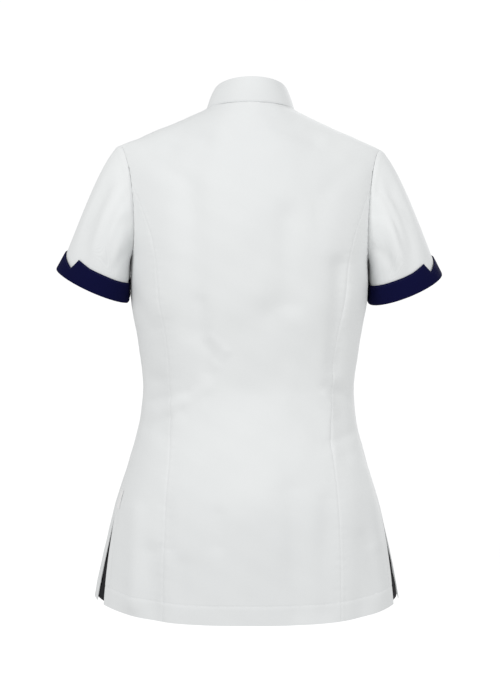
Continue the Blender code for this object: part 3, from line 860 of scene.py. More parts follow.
@dataclass(frozen=True)
class ClothFinish:
    """A woven cloth: its colours, its twill lines with painted shade in their valleys, and its soft
    unevenness.
    """

    name: str
    slot: Slot
    colour: Colour
    shade: Colour
    # Painted shade in the twill's valleys: the colour there is multiplied down to this share
    groove: float = 0.965
    twill_pitch: float = 0.7 * MM
    thread_pitch: float = 0.45 * MM
    weave_height: float = 0.10 * MM
    weave_strength: float = 0.20
    crumple_scale: float = 16
    crumple_height: float = 1.3 * MM
    crumple_strength: float = 0.20
    slub_scale: float = 420
    patch_scale: float = 5
    patch_span: tuple[float, float] = (0.35, 0.65)
    twill_valley_shade_span: tuple[float, float] = (0.1, 0.7)
    roughness: tuple[float, float] = (0.80, 0.92)
    sheen: float = 0.12
    sheen_roughness: float = 0.5
    gloss: float = 0.25

    def material(self) -> bpy.types.Material:
        """Return the cloth's material, its weave on the piece's own map.

        Returns:
            The material.
        """
        graph = NodeGraph(self.name)
        places = graph.add("ShaderNodeTexCoord")
        on_cloth, in_space = places.outputs["UV"], places.outputs["Object"]
        twill = graph.waves(on_cloth, self.twill_pitch, "DIAGONAL")
        threads = graph.waves(on_cloth, self.thread_pitch, "X")
        soft = graph.noise(in_space, self.crumple_scale, 3)
        slub = graph.noise(in_space, self.slub_scale)
        patch = graph.noise(in_space, self.patch_scale)
        tone = graph.ramp(patch, (self.patch_span[0], self.shade), (self.patch_span[1], self.colour))
        # Painted shade: the colour darkens in the twill's valleys, on top of their bump
        lines = graph.ramp(twill, (self.twill_valley_shade_span[0], (self.groove,) * 3), (self.twill_valley_shade_span[1], (1, 1, 1)))
        whole = graph.add("ShaderNodeMixRGB", {"blend_type": "MULTIPLY"}, Fac=1.0, Color1=tone, Color2=lines)
        way = graph.bump(soft, self.crumple_height, self.crumple_strength)
        way = graph.bump(slub, self.weave_height, self.weave_strength, way)
        way = graph.bump(threads, self.weave_height / 2, self.weave_strength, way)
        way = graph.bump(twill, self.weave_height, self.weave_strength, way)
        return graph.shade(
            Base_Color=whole.outputs["Color"], Roughness=graph.spread(slub, self.roughness), Normal=way,
            Specular_IOR_Level=self.gloss, Sheen_Weight=self.sheen, Sheen_Roughness=self.sheen_roughness)


@dataclass(frozen=True)
class SmoothFinish:
    """A smooth stuff, such as thread, tape or moulded plastic."""

    name: str
    slot: Slot
    colour: Colour
    shade: Colour
    roughness: tuple[float, float]
    grain_scale: float
    grain_height: float
    grain_strength: float = 0.4
    patch_size: float = 12
    patch_span: tuple[float, float] = (0.35, 0.7)

    def material(self) -> bpy.types.Material:
        """Return the material, with its fine grain and slight change of tone.

        Returns:
            The material.
        """
        graph = NodeGraph(self.name)
        in_space = graph.add("ShaderNodeTexCoord").outputs["Object"]
        grain = graph.noise(in_space, self.grain_scale)
        patch = graph.noise(in_space, self.grain_scale / self.patch_size)
        tone = graph.ramp(patch, (self.patch_span[0], self.shade), (self.patch_span[1], self.colour))
        return graph.shade(Base_Color=tone, Roughness=graph.spread(grain, self.roughness),
                           Normal=graph.bump(grain, self.grain_height, self.grain_strength))


@dataclass
class Wardrobe:
    """All finishes of the tunic, each made once."""

    made: dict[str, bpy.types.Material] = field(default_factory=dict)
    white_twill: ClothFinish = ClothFinish(
        "white_twill", Slot.WHITE_CLOTH, (0.80, 0.815, 0.815), (0.775, 0.79, 0.793))
    navy_twill: ClothFinish = ClothFinish(
        "navy_twill", Slot.NAVY_CLOTH, (0.0060, 0.0068, 0.050), (0.0045, 0.0052, 0.042),
        groove=0.55, sheen=0.0, gloss=0.05, crumple_strength=0.3)
    # Painted shade: a near-black cloth for the sheets behind the vents, which stand in for the shade inside
    # them
    vent_shade_cloth: ClothFinish = ClothFinish(
        "painted_vent_shade", Slot.DARK_CLOTH, (0.030, 0.029, 0.032), (0.020, 0.020, 0.023),
        groove=0.6, sheen=0.0, gloss=0.1)
    label_tape: ClothFinish = ClothFinish(
        "label_tape", Slot.LABEL_CLOTH, (0.90, 0.90, 0.90), (0.86, 0.86, 0.86), groove=0.90,
        twill_pitch=0.4 * MM, thread_pitch=0.3 * MM, roughness=(0.55, 0.65), crumple_strength=0.1)
    white_thread: SmoothFinish = SmoothFinish(
        "white_thread", Slot.WHITE_CLOTH, (0.80, 0.81, 0.81), (0.72, 0.73, 0.74),
        roughness=(0.5, 0.7), grain_scale=900, grain_height=0.1 * MM)
    navy_thread: SmoothFinish = SmoothFinish(
        "navy_thread", Slot.NAVY_CLOTH, (0.018, 0.019, 0.075), (0.010, 0.011, 0.05),
        roughness=(0.5, 0.7), grain_scale=900, grain_height=0.1 * MM)
    stud_plastic: SmoothFinish = SmoothFinish(
        "stud_plastic", Slot.PRESS_STUD, (0.80, 0.80, 0.79), (0.77, 0.77, 0.765),
        roughness=(0.28, 0.40), grain_scale=500, grain_height=0.03 * MM)

    def get(self, finish: ClothFinish | SmoothFinish) -> bpy.types.Material:
        """Return the material of a finish, made on its first use."""
        if finish.name not in self.made:
            self.made[finish.name] = finish.material()
        return self.made[finish.name]

    def dress(self, item: bpy.types.Object, finish: ClothFinish | SmoothFinish,
              *nodes: str) -> bpy.types.Object:
        """Give a piece its finish, put it on the body, and let it stand for CAD nodes.

        Args:
            item: The piece.
            finish: Its finish.
            *nodes: The CAD nodes that it stands for.

        Returns:
            The same piece.
        """
        item.data.materials.append(self.get(finish))
        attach(item, BODY)
        if nodes:
            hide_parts(*nodes)
        return item


class SewnLine(NamedTuple):
    """Points in a row on cloth, with the way out at each."""

    points: np.ndarray
    ways: np.ndarray


@dataclass
class ClothShell:
    """A thin shell of cloth on a net of points, row by row."""

    name: str
    points: np.ndarray
    sign: int
    wall: float = 1.0 * MM
    closed: bool = False
    out: np.ndarray = field(init=False)

    def __post_init__(self) -> None:
        """Measure the way out at each point of the net."""
        up = np.gradient(self.points, axis=0)
        across = np.gradient(self.points, axis=1)
        if self.closed:
            across[:, 0] = across[:, -1] = (self.points[:, 1] - self.points[:, -2]) / 2
        way = np.cross(up, across) * self.sign
        self.out = way / np.maximum(np.linalg.norm(way, axis=2, keepdims=True), 1e-12)

    def along(self, axis: int, from_end: bool = False) -> np.ndarray:
        """Return each point's distance along the cloth from the first or last row or column.

        Args:
            axis: 0 to go from row to row, 1 to go from column to column.
            from_end: True to measure from the last row or column.

        Returns:
            The distances, in metres.
        """
        steps = np.linalg.norm(np.diff(self.points, axis=axis), axis=2)
        total = np.cumsum(steps, axis=axis)
        pad = ((1, 0), (0, 0)) if axis == 0 else ((0, 0), (1, 0))
        total = np.pad(total, pad)
        if from_end:
            total = np.take(total, [-1], axis=axis) - total
        return total

    def lift(self, heights: np.ndarray) -> None:
        """Move each point out by its height."""
        self.points = self.points + self.out * heights[..., None]

    def line(self, distances: np.ndarray, distance: float, axis: int,
             first: int = 0, last: int | None = None) -> SewnLine:
        """Return the line on the cloth at one distance from an edge.

        Args:
            distances: The distances from that edge, as along gives them.
            distance: The distance of the line.
            axis: The axis that the distances were measured along.
            first: The first row or column that the line runs through.
            last: The row or column that it stops before.

        Returns:
            The line.
        """
        net, outs = (self.points, self.out) if axis == 1 else (
            self.points.transpose(1, 0, 2), self.out.transpose(1, 0, 2))
        table = distances if axis == 1 else distances.T
        places, ways = [], []
        for row, outward, far in list(zip(net, outs, table))[first:last]:
            order = np.argsort(far)
            if far[order[-1]] < distance:
                continue
            where = [np.interp(distance, far[order], row[order, k]) for k in range(3)]
            way = [np.interp(distance, far[order], outward[order, k]) for k in range(3)]
            places.append(where)
            ways.append(way)
        return SewnLine(np.array(places), np.array(ways))

    def build(self) -> bpy.types.Object:
        """Make the shell: the net, the same net moved in, its edges, and its map in metres.

        Returns:
            The object.
        """
        rows, columns = self.points.shape[:2]
        inner = self.points - self.out * self.wall
        across, up = self.along(1), self.along(0)
        mesh = bmesh.new()
        bmesh.ops.create_grid(mesh, x_segments=columns - 1, y_segments=rows - 1, size=1)
        thick = bmesh.ops.extrude_face_region(mesh, geom=mesh.faces[:])["geom"]
        for item in thick:
            if isinstance(item, bmesh.types.BMVert):
                item.co.z = 1
        if self.closed:
            ends = [f for f in mesh.faces if all(abs(v.co.x) > 0.99999 for v in f.verts)]
            bmesh.ops.delete(mesh, geom=ends, context="FACES")
        mesh.verts.index_update()
        spots = []
        for vertex in mesh.verts:
            column = round((vertex.co.x + 1) / 2 * (columns - 1))
            row = round((vertex.co.y + 1) / 2 * (rows - 1))
            spots.append((across[row, column], up[row, column]))
            vertex.co = (inner if vertex.co.z > 0.5 else self.points)[row, column]
        cloth_map = mesh.loops.layers.uv.new("Cloth")
        for face in mesh.faces:
            for corner in face.loops:
                corner[cloth_map].uv = spots[corner.vert.index]
        if self.closed:
            bmesh.ops.remove_doubles(mesh, verts=mesh.verts, dist=1e-6)
        return finish_mesh(self.name, mesh)


def add_object(name: str, data: bpy.types.ID) -> bpy.types.Object:
    """Put data into the scene as an object at the origin."""
    item = bpy.data.objects.new(name, data)
    bpy.context.collection.objects.link(item)
    return item


def finish_mesh(name: str, mesh: bmesh.types.BMesh, sharp: float = 60) -> bpy.types.Object:
    """Turn a closed mesh outwards and make it an object at the origin.

    Args:
        name: The piece's name.
        mesh: The mesh, which is freed.
        sharp: The angle from which an edge is drawn sharp, in degrees.

    Returns:
        The object.
    """
    bmesh.ops.recalc_face_normals(mesh, faces=mesh.faces)
    if mesh.calc_volume(signed=True) < 0:
        bmesh.ops.reverse_faces(mesh, faces=mesh.faces)
    data = bpy.data.meshes.new(name)
    mesh.to_mesh(data)
    mesh.free()
    data.shade_smooth()
    data.set_sharp_from_angle(angle=math.radians(sharp))
    return add_object(name, data)


def spun(outline: Sequence[tuple[float, float]], steps: int, joined: float) -> bmesh.types.BMesh:
    """Spin an outline round the Z axis.

    Args:
        outline: Its points, each a radius and a height.
        steps: The steps of the full turn.
        joined: How close points are joined into one, in metres.

    Returns:
        The mesh.
    """
    mesh = bmesh.new()
    points = [mesh.verts.new((radius, 0, height)) for radius, height in outline]
    edges = [mesh.edges.new(pair) for pair in zip(points, points[1:])]
    bmesh.ops.spin(mesh, geom=points + edges, cent=(0, 0, 0), axis=(0, 0, 1), dvec=(0, 0, 0),
                   angle=math.tau, steps=steps, use_merge=True, use_duplicate=False)
    bmesh.ops.remove_doubles(mesh, verts=mesh.verts, dist=joined)
    return mesh


@dataclass(frozen=True)
class Sewing:
    """Visible stitches, each a small thread that dips into the cloth at both ends."""

    length: float = 2.4 * MM
    gap: float = 0.8 * MM
    radius: float = 0.24 * MM
    sink: float = 0.05 * MM

    def sew(self, name: str, lines: Sequence[SewnLine]) -> bpy.types.Object:
        """Lay stitches along lines.

        Args:
            name: The piece's name.
            lines: The lines, on the outer side of the cloth.

        Returns:
            One object with all the stitches.
        """
        one = bmesh.new()
        bmesh.ops.create_uvsphere(one, u_segments=6, v_segments=4, radius=1)
        bmesh.ops.scale(one, vec=(self.radius, self.radius, self.length / 2), verts=one.verts)
        thread = bpy.data.meshes.new("one_stitch")
        one.to_mesh(thread)
        one.free()
        mesh = bmesh.new()
        for line in lines:
            run = run_along(line.points)
            count = int(run[-1] / (self.length + self.gap))
            for k in range(count):
                middle = (k + 0.5) * run[-1] / count
                ends = [self.at(line, run, middle + step) for step in (-self.length / 2, self.length / 2)]
                way = (ends[0][1] + ends[1][1]).normalized()
                run_way = (ends[1][0] - ends[0][0]).normalized()
                place = (ends[0][0] + ends[1][0]) / 2 - way * self.sink
                turn = run_way.to_track_quat("Z", "Y").to_matrix().to_4x4()
                stitch = thread.copy()
                stitch.transform(Matrix.Translation(place) @ turn)
                mesh.from_mesh(stitch)
                bpy.data.meshes.remove(stitch)
        bpy.data.meshes.remove(thread)
        return finish_mesh(name, mesh)

    @staticmethod
    def at(line: SewnLine, run: np.ndarray, distance: float) -> tuple[Vector, Vector]:
        """Return the place and the way out at a distance along a line."""
        place = Vector([np.interp(distance, run, line.points[:, k]) for k in range(3)])
        way = Vector([np.interp(distance, run, line.ways[:, k]) for k in range(3)])
        return place, way


@dataclass(frozen=True)
class Panel:
    """A panel of the body: where it lies, and what its edges are.

    Its sign is -1 on the right side, where the angles of its edges count the other way.
    Its corners are the angles of the neckline's corners in its top row.
    """

    name: str
    sign: int
    edges: Callable[[float], tuple[float, float]]
    columns: int
    levels: list[float]
    seed: float
    corners: tuple[float, ...] = ()
    open_first: bool = False
    open_last: bool = False
    is_front: bool = False


@dataclass
class BodyPanels:
    """The middle back, the side backs and the fronts, with their hems, vents and seams."""

    form: BodyForm
    wardrobe: Wardrobe
    back_columns: int = 66
    side_back_columns: int = 16
    front_columns: int = 50
    lower_rows: int = 166
    upper_rows: int = 74
    upper_spacing: float = 1.4
    row_clearance: float = 0.004
    row_samples: int = 30
    edge_stops: tuple[float, ...] = (0, 0.0007, 0.0015, 0.0026, 0.0042, 0.0065, 0.0090, 0.0100, 0.0112)
    narrow_row: float = 2.8
    hem_stops: tuple[float, ...] = (0, 0.0008, 0.002, 0.005, 0.009, 0.014, 0.019, 0.0225, 0.0237, 0.0245,
                                    0.0252, 0.0260, 0.0272)
    top_stops: tuple[float, ...] = (0.030, 0.022, 0.015, 0.010, 0.006, 0.003)
    hem_scale: float = 0.476
    hem_turn: float = 0.0245
    hem_step: float = 0.35 * MM
    hem_edge: tuple[float, float] = (0.5 * MM, 0.9 * MM)
    hem_groove: Welt = Welt(-0.35, 24.5, 1.1)
    hem_pucker: Welt = Welt(0.3, 24.5, 9)
    vent_turn: float = 0.0095
    vent_edge: float = 0.6 * MM
    vent_groove: Welt = Welt(-0.35, 9.5, 0.9)
    vent_fade: float = 0.004
    vent_stitch_rows: tuple[int, float] = (10, 0.01)
    seam_groove: Welt = Welt(-0.45, 0, 1.3)
    seam_rise: Welt = Welt(0.08, 3.2, 2.2)
    seam_pucker: Welt = Welt(0.30, 3, 8)
    seam_seeds: tuple[float, float] = (1.3, 2.9)
    back_seed: float = 0.7
    side_back_seed: float = 2.1
    front_seed: float = 5.3
    armhole_calm: float = 0.7
    armhole_fade: float = 0.03
    top_pucker: Welt = Welt(0.22, 4, 8)
    top_seed: float = 4
    neck_ridge: Welt = Welt(0.75, 3.4, 1.9)
    neck_groove: Welt = Welt(-0.7, 0, 1.3)
    neck_fade: float = 1.5
    shoulder_groove: Welt = Welt(-0.45, 0, 1.5)
    shoulder_rise: Welt = Welt(0.2, 3, 2)
    drifts: tuple[Drift, ...] = (
        Drift(0.45, (71, 23, 1), (-19, 47, 2)), Drift(0.22, (133, -61, 3), (37, 104, 1)))
    drift_fade: float = 6 * MM
    corner_columns: int = 8
    corner_pull: tuple[float, float] = (0.6, 1)
    corner_ease_angle: float = 16.0
    corner_ease_start: tuple[float, float] = (0.2, 0.6)
    corner_ease_top: tuple[float, float] = (0.97, 0.998)
    corner_ease_rounds: int = 40
    dart_from: tuple[float, float] = (0.1535, -0.268)
    dart_to: tuple[float, float] = (0.088, -0.249)
    dart_forms: tuple[tuple[float, float], ...] = ((2.4 * MM, -0.9 * MM), (9 * MM, 0.5 * MM))
    stitch_lines: list[SewnLine] = field(default_factory=list)

    def levels(self) -> list[float]:
        """Return the rows that all body panels share, close together at hem and top.

        Returns:
            The rows' levels, rising.
        """
        hem = [-1 + stop / self.hem_scale for stop in self.hem_stops]
        lower = [mix(hem[-1], 0, share) for share in even(self.lower_rows)][1:-1]
        top = [1 - stop for stop in self.top_stops] + [1.0]
        tip, clear = self.form.princess_tip_level, self.row_clearance
        upper = [share ** self.upper_spacing for share in even(self.upper_rows)]
        upper = [level for level in upper if level < top[0] - clear and abs(level - tip) > clear]
        return sorted(hem + lower + upper + top + [tip])

    def row_angles(self, panel: Panel, level: float) -> np.ndarray:
        """Return the angles of a row's points, close together at both seams.

        Args:
            panel: The panel.
            level: The row's level.

        Returns:
            The angles.
        """
        samples = np.linspace(*panel.edges(level), self.row_samples)
        run = run_along(np.array([self.form.point(panel.sign * angle, level) for angle in samples]))
        stops = np.array(self.edge_stops) * min(1.0, run[-1] / (self.narrow_row * self.edge_stops[-1]))
        middle = np.linspace(stops[-1], run[-1] - stops[-1], panel.columns + 1)[1:-1]
        places = np.concatenate((stops, middle, run[-1] - stops[::-1]))
        return np.interp(places, run, samples)

    def net(self, panel: Panel) -> tuple[ClothShell, np.ndarray]:
        """Lay a net over a panel.

        Args:
            panel: The panel.

        Returns:
            The shell and the angles of its points.
        """
        levels = np.array(panel.levels)
        angles = np.array([self.row_angles(panel, level) for level in panel.levels])
        for corner in panel.corners:
            column = int(np.argmin(np.abs(angles[-1] - corner)))
            near = np.clip(1 - np.abs(np.arange(angles.shape[1]) - column) / self.corner_columns, 0, 1)
            push = soft_step(levels, *self.corner_pull)
            angles = angles + (corner - angles[-1, column]) * push[:, None] * near[None, :]
        points = np.array([[self.form.point(panel.sign * angle, level) for angle in row]
                           for row, level in zip(angles, panel.levels)])
        self.ease_corners(points, angles, levels)
        shell = ClothShell(panel.name, points, panel.sign)
        on_ridge = self.form.from_centre(angles) >= self.form.neck_angle - self.form.corner_play
        on_ridge &= (levels > 1 - self.form.level_step)[:, None]
        for row, column in np.argwhere(on_ridge):
            shell.out[row, column] = self.form.ridge_way(panel.sign * angles[row, column])
        return shell, angles

    def ease_corners(self, points: np.ndarray, angles: np.ndarray, levels: np.ndarray) -> None:
        """Spread out the crease that runs down from each corner of the neckline.

        Args:
            points: The panel's points, which are moved.
            angles: Their angles.
            levels: The levels of the rows.
        """
        near = hump(self.form.from_centre(angles), self.form.neck_angle, self.corner_ease_angle)
        rows = soft_step(levels, *self.corner_ease_start) * (1 - soft_step(levels, *self.corner_ease_top))
        weight = (near * rows[:, None])[:, 1:-1, None]
        for _ in range(self.corner_ease_rounds):
            middle = (points[:, :-2] + points[:, 2:]) / 2
            points[:, 1:-1] += weight * (middle - points[:, 1:-1]) / 2

    def seam(self, distance: np.ndarray, run: np.ndarray, seed: float, armhole: np.ndarray) -> np.ndarray:
        """Return the lift of cloth beside a seam: a groove with small uneven waves.

        Args:
            distance: The distances from the seam.
            run: The distances along it.
            seed: A number that makes the waves the seam's own.
            armhole: Where the seam is an armhole's (1), with a shallower groove, or not (0).

        Returns:
            The lift of each point.
        """
        groove = self.seam_groove.over(distance) * (1 - self.armhole_calm * armhole)
        return groove + self.seam_rise.over(distance) + ripple(run, seed) * self.seam_pucker.over(distance)

    def drift(self, points: np.ndarray, seed: float) -> np.ndarray:
        """Return the slight wandering that cloth has where nothing pulls it.

        Args:
            points: The cloth's points.
            seed: A number that makes it the panel's own.

        Returns:
            The lift of each point.
        """
        total = np.zeros(points.shape[:2])
        for height, *waves in self.drifts:
            first, second = (np.sin(points[..., 0] * across + points[..., 2] * up + seed * start)
                             for across, up, start in waves)
            total += height * MM * first * second
        return total

    def relief(self, panel: Panel, shell: ClothShell, angles: np.ndarray) -> None:
        """Work seams, hem, vents and creases into a panel.

        Args:
            panel: The panel.
            shell: Its shell, which is changed.
            angles: The angles of the shell's points.
        """
        form, seed, levels = self.form, panel.seed, np.array(panel.levels)
        first, last = shell.along(1), shell.along(1, True)
        up, down = shell.along(0), shell.along(0, True)
        x, z = shell.points[..., 0], shell.points[..., 2]
        behind = np.abs(angles) <= 90
        creases = np.where(behind, fold_field(BACK_CREASES, x, z), fold_field(FRONT_CREASES, x, z))
        facing = soft_step(np.cos(np.radians(angles)) ** 2, *form.fold_side_fade)
        inside = soft_step(np.minimum(first, last), 0, self.drift_fade)
        total = creases * facing + self.drift(shell.points, seed) * inside
        vent = 1 - soft_step(levels, form.vent_top - self.vent_fade, form.vent_top + self.vent_fade)[:, None]
        turned = 1 - soft_step(up, self.hem_turn - self.hem_edge[0], self.hem_turn + self.hem_edge[1])
        seams = [(first, panel.open_first)]
        if not panel.is_front:
            seams.append((last, panel.open_last))
        for distance, is_open in seams:
            low = 0.0 if is_open else form.princess_tip_level
            armhole = soft_step(levels, low, low + self.armhole_fade)[:, None]
            lift = self.seam(distance, up, seed + self.seam_seeds[0], armhole)
            if is_open:
                edge = 1 - soft_step(distance, self.vent_turn - self.vent_edge,
                                     self.vent_turn + self.vent_edge)
                turned = np.maximum(turned, edge * vent)
                lift = lift * (1 - vent) + self.vent_groove.over(distance) * vent
            total += lift
            seed += self.seam_seeds[1]
        total += self.hem_step * turned + self.hem_groove.over(up)
        total += ripple(first, seed) * self.hem_pucker.over(up)
        if levels[-1] >= 1:
            total += self.top_relief(angles, down, first, seed)
        shell.lift(total)
        self.stitch_lines.append(shell.line(shell.along(0), self.hem_turn, 0))
        start, below = self.vent_stitch_rows
        stop = int(np.searchsorted(levels, form.vent_top - below))
        for is_open, from_end in ((panel.open_first, False), (panel.open_last, True)):
            if is_open:
                self.stitch_lines.append(shell.line(shell.along(1, from_end), self.vent_turn, 1, start, stop))

    def top_relief(self, angles: np.ndarray, down: np.ndarray, across: np.ndarray, seed: float) -> np.ndarray:
        """Return the lift along the neckline and the shoulder seams.

        Args:
            angles: The angles of the points.
            down: Their distances from the top row.
            across: Their distances from the first column.
            seed: A number that makes the waves the panel's own.

        Returns:
            The lift of each point.
        """
        lean, corner = self.form.from_centre(angles), self.form.neck_angle
        on_shoulder = soft_step(lean, corner - self.neck_fade, corner + self.neck_fade)
        neck = self.neck_ridge.over(down) + self.neck_groove.over(down)
        shoulder = self.shoulder_groove.over(down) + self.shoulder_rise.over(down)
        drawn = ripple(across, seed + self.top_seed) * self.top_pucker.over(down)
        return mix(neck, shoulder, on_shoulder) + drawn

    def dart(self, shell: ClothShell, sign: int) -> None:
        """Sew the bust dart into a front, as a groove that runs out towards the bust."""
        (x0, z0), (x1, z1) = self.dart_from, self.dart_to
        folds = [Fold(sign * x0, z0, sign * x1, z1, width, depth) for width, depth in self.dart_forms]
        shell.lift(fold_field(folds, shell.points[..., 0], shell.points[..., 2]))

    def sewn(self, panel: Panel, node: str) -> bpy.types.Object:
        """Build a panel with all its relief, to stand for a CAD node.

        Args:
            panel: The panel.
            node: The node.

        Returns:
            The piece.
        """
        shell, angles = self.net(panel)
        self.relief(panel, shell, angles)
        if panel.is_front:
            self.dart(shell, panel.sign)
        return self.wardrobe.dress(shell.build(), self.wardrobe.white_twill, node)

    def build(self) -> list[bpy.types.Object]:
        """Build the five panels and the stitches of their hems and vents.

        Returns:
            The pieces.
        """
        form, levels = self.form, self.levels()
        low = [level for level in levels if level <= form.princess_tip_level]
        corner = form.neck_angle
        back = self.sewn(Panel(
            "back_middle_cloth", 1,
            lambda level: (-form.back_centre_edge(level), form.back_centre_edge(level)),
            self.back_columns, levels, self.back_seed, (-corner, corner)), "back_centre")
        pieces = [back]
        for side in Side:
            piece = self.sewn(Panel(
                f"side_back_{side.word}_cloth", side.value,
                lambda level: (form.princess_seam(level), form.side_back_outer_edge(level)),
                self.side_back_columns, low, self.side_back_seed + side.value, open_last=True),
                f"side_back_{side.word}")
            pieces.append(piece)
            piece = self.sewn(Panel(
                f"front_{side.word}_cloth", side.value,
                lambda level, side=side: (form.front_outer_edge(level, side), 180.0),
                self.front_columns, levels, self.front_seed + side.value, (180 - corner,),
                open_first=True, is_front=True), f"front_{side.word}")
            pieces.append(piece)
        stitches = Sewing().sew("hem_and_vent_stitches", self.stitch_lines)
        pieces.append(self.wardrobe.dress(stitches, self.wardrobe.white_thread))
        return pieces


@dataclass
class SleeveForm:
    """The outer surface of one sleeve, from its armhole (0) to its end (1)."""

    body: BodyForm
    side: Side
    end: tuple[float, float, float] = (0.2133, -0.0094, -0.2403)
    right_end_out: float = 0.0035
    reach_out: float = 0.0508
    reach_back: float = 0.0577
    tilt_out: float = math.radians(23.3)
    tilt_forward: float = math.radians(12)
    seam_gap: float = 0.1 * MM
    underarm_gap: float = 0.4 * MM
    clear_top: float = 1.2 * MM
    clear_end: float = 6.8 * MM
    clear_top_rise: tuple[float, float] = (0, 0.12)
    clear_end_rise: tuple[float, float] = (0.2, 1)
    inner_half: float = 0.5
    holds_flat: tuple[float, float] = (0.62, 0.86)
    along_step: float = 0.02
    turn_step: float = 2
    starts: tuple[SleeveStart, ...] = (
        SleeveStart(0, (0.848, 0.0, -0.530), 0.0283, 0.060),
        SleeveStart(90, (0.720, 0.520, -0.460), 0.048, 0.045),
        SleeveStart(180, (0.300, -0.100, -0.950), 0.018, 0.020),
        SleeveStart(270, (0.720, -0.520, -0.460), 0.048, 0.045),
    )
    columns: dict[float, tuple] = field(default_factory=dict)

    def axes(self) -> tuple[Vector, Vector, Vector]:
        """Return the outward, backward and upward directions of the sleeve's end."""
        outward = Vector((math.cos(self.tilt_out), 0, math.sin(self.tilt_out)))
        backward = Vector((0, math.cos(self.tilt_forward), -math.sin(self.tilt_forward)))
        return outward, backward, outward.cross(backward).normalized()

    def column(self, turn: float) -> tuple[Vector, Vector, Vector, Vector, Vector]:
        """Return the curve's four points at a turn, and the way out there.

        Args:
            turn: The turn round the sleeve.

        Returns:
            The four points and the direction.
        """
        turn %= 360
        if turn in self.columns:
            return self.columns[turn]
        outward, backward, upward = self.axes()
        sine, cosine = math.sin(math.radians(turn)), math.cos(math.radians(turn))
        direction, reach, end_reach = Vector(), 0.0, 0.0
        for start in self.starts:
            weight = max(math.cos(math.radians(turn - start.turn)), 0) ** 2
            direction += Vector(start.direction) * weight
            reach += start.reach * weight
            end_reach += start.end_reach * weight
        seam = self.body.armhole_point(self.side, turn)
        seam += self.body.armhole_outward(self.side, turn) * self.seam_gap
        seam *= Vector((self.side.value, 1, 1))
        seam.x += self.underarm_gap * max(-cosine, 0) ** 2
        end = Vector(self.end) + outward * self.reach_out * cosine + backward * self.reach_back * sine
        end.x += self.right_end_out if self.side is Side.RIGHT else 0.0
        radial = (outward * cosine + backward * sine).normalized()
        middle = seam + direction.normalized() * reach
        self.columns[turn] = (seam, middle, end + upward * end_reach, end, radial)
        return self.columns[turn]

    def fold_height(self, turn: float, along: float) -> float:
        """Return how far the main folds lift the cloth."""
        return float(sleeve_lift(SLEEVE_FOLDS[self.side], turn, along)) * (1 - ease(along, *self.holds_flat))

    def point(self, turn: float, along: float) -> Vector:
        """Return a point of the surface.

        Args:
            turn: The turn round the sleeve, in degrees.
            along: 0 at the armhole and 1 at the sleeve's end.

        Returns:
            The point, in metres.
        """
        *curve, radial = self.column(turn)
        point = bezier(*curve, along) + radial * self.fold_height(turn, along)
        if math.cos(math.radians(turn)) < self.inner_half:
            clear = self.clear_top * ease(along, *self.clear_top_rise)
            clear += (self.clear_end - self.clear_top) * ease(along, *self.clear_end_rise)
            point.x = max(point.x, self.body.half_width_at(point.y, point.z) + clear)
        return point * Vector((self.side.value, 1, 1))

    def normal(self, turn: float, along: float) -> Vector:
        """Return the outward direction of the surface.

        Args:
            turn: The turn round the sleeve.
            along: The place along it.

        Returns:
            The direction, of length 1.
        """
        low, high = max(along - self.along_step, 0), min(along + self.along_step, 1)
        down = self.point(turn, high) - self.point(turn, low)
        round_ = self.point(turn + self.turn_step, along) - self.point(turn - self.turn_step, along)
        return (down.cross(round_) * self.side.value).normalized()


@dataclass
class Sleeve:
    """A set-in sleeve with its fullness at the seam and its small creases."""

    form: SleeveForm
    wardrobe: Wardrobe
    step: float = 3.75
    stops: tuple[float, ...] = (0, 0.008, 0.017, 0.027, 0.04, 0.055, 0.075)
    rows: int = 42
    crease_start: tuple[float, float] = (0.0, 0.09)
    seam_groove: Welt = Welt(-0.12, 0, 1.4)
    fullness: Welt = Welt(1, 5.5, 4.5)
    fullness_mean: float = 0.75
    fullness_swing: float = 0.4
    fullness_fade: tuple[float, float] = (-0.5, 0.3)
    seed: float = 1.1
    free_x: float = 0.186
    free_along: float = 0.5

    def build(self) -> list[bpy.types.Object]:
        """Build the sleeve.

        Returns:
            The piece, in a list.
        """
        side = self.form.side
        turns = np.arange(-180, 180 + self.step / 2, self.step)
        alongs = list(self.stops) + [mix(self.stops[-1], 1, share) for share in even(self.rows)][1:]
        points = np.array([[self.form.point(float(turn), along) for turn in turns] for along in alongs])
        shell = ClothShell(f"sleeve_{side.word}_cloth", points, side.value, closed=True)
        down, run = shell.along(0), shell.along(1)
        where = np.array(alongs)[:, None]
        total = sleeve_lift(SLEEVE_CREASES[side], turns[None, :], where)
        total *= soft_step(where, *self.crease_start) * (1 - soft_step(where, *self.form.holds_flat))
        total += self.seam_groove.over(down)
        upper = soft_step(np.cos(np.radians(turns)), *self.fullness_fade)[None, :]
        gathers = self.fullness_mean + self.fullness_swing * ripple(run, self.seed + side.value)
        total += upper * gathers * self.fullness.over(down)
        free = (np.abs(points[..., 0]) > self.free_x) | (where < self.free_along)
        shell.lift(np.where(free, total, np.minimum(total, 0)))
        item = self.wardrobe.dress(shell.build(), self.wardrobe.white_twill, f"sleeve_{side.word}")
        return [item]


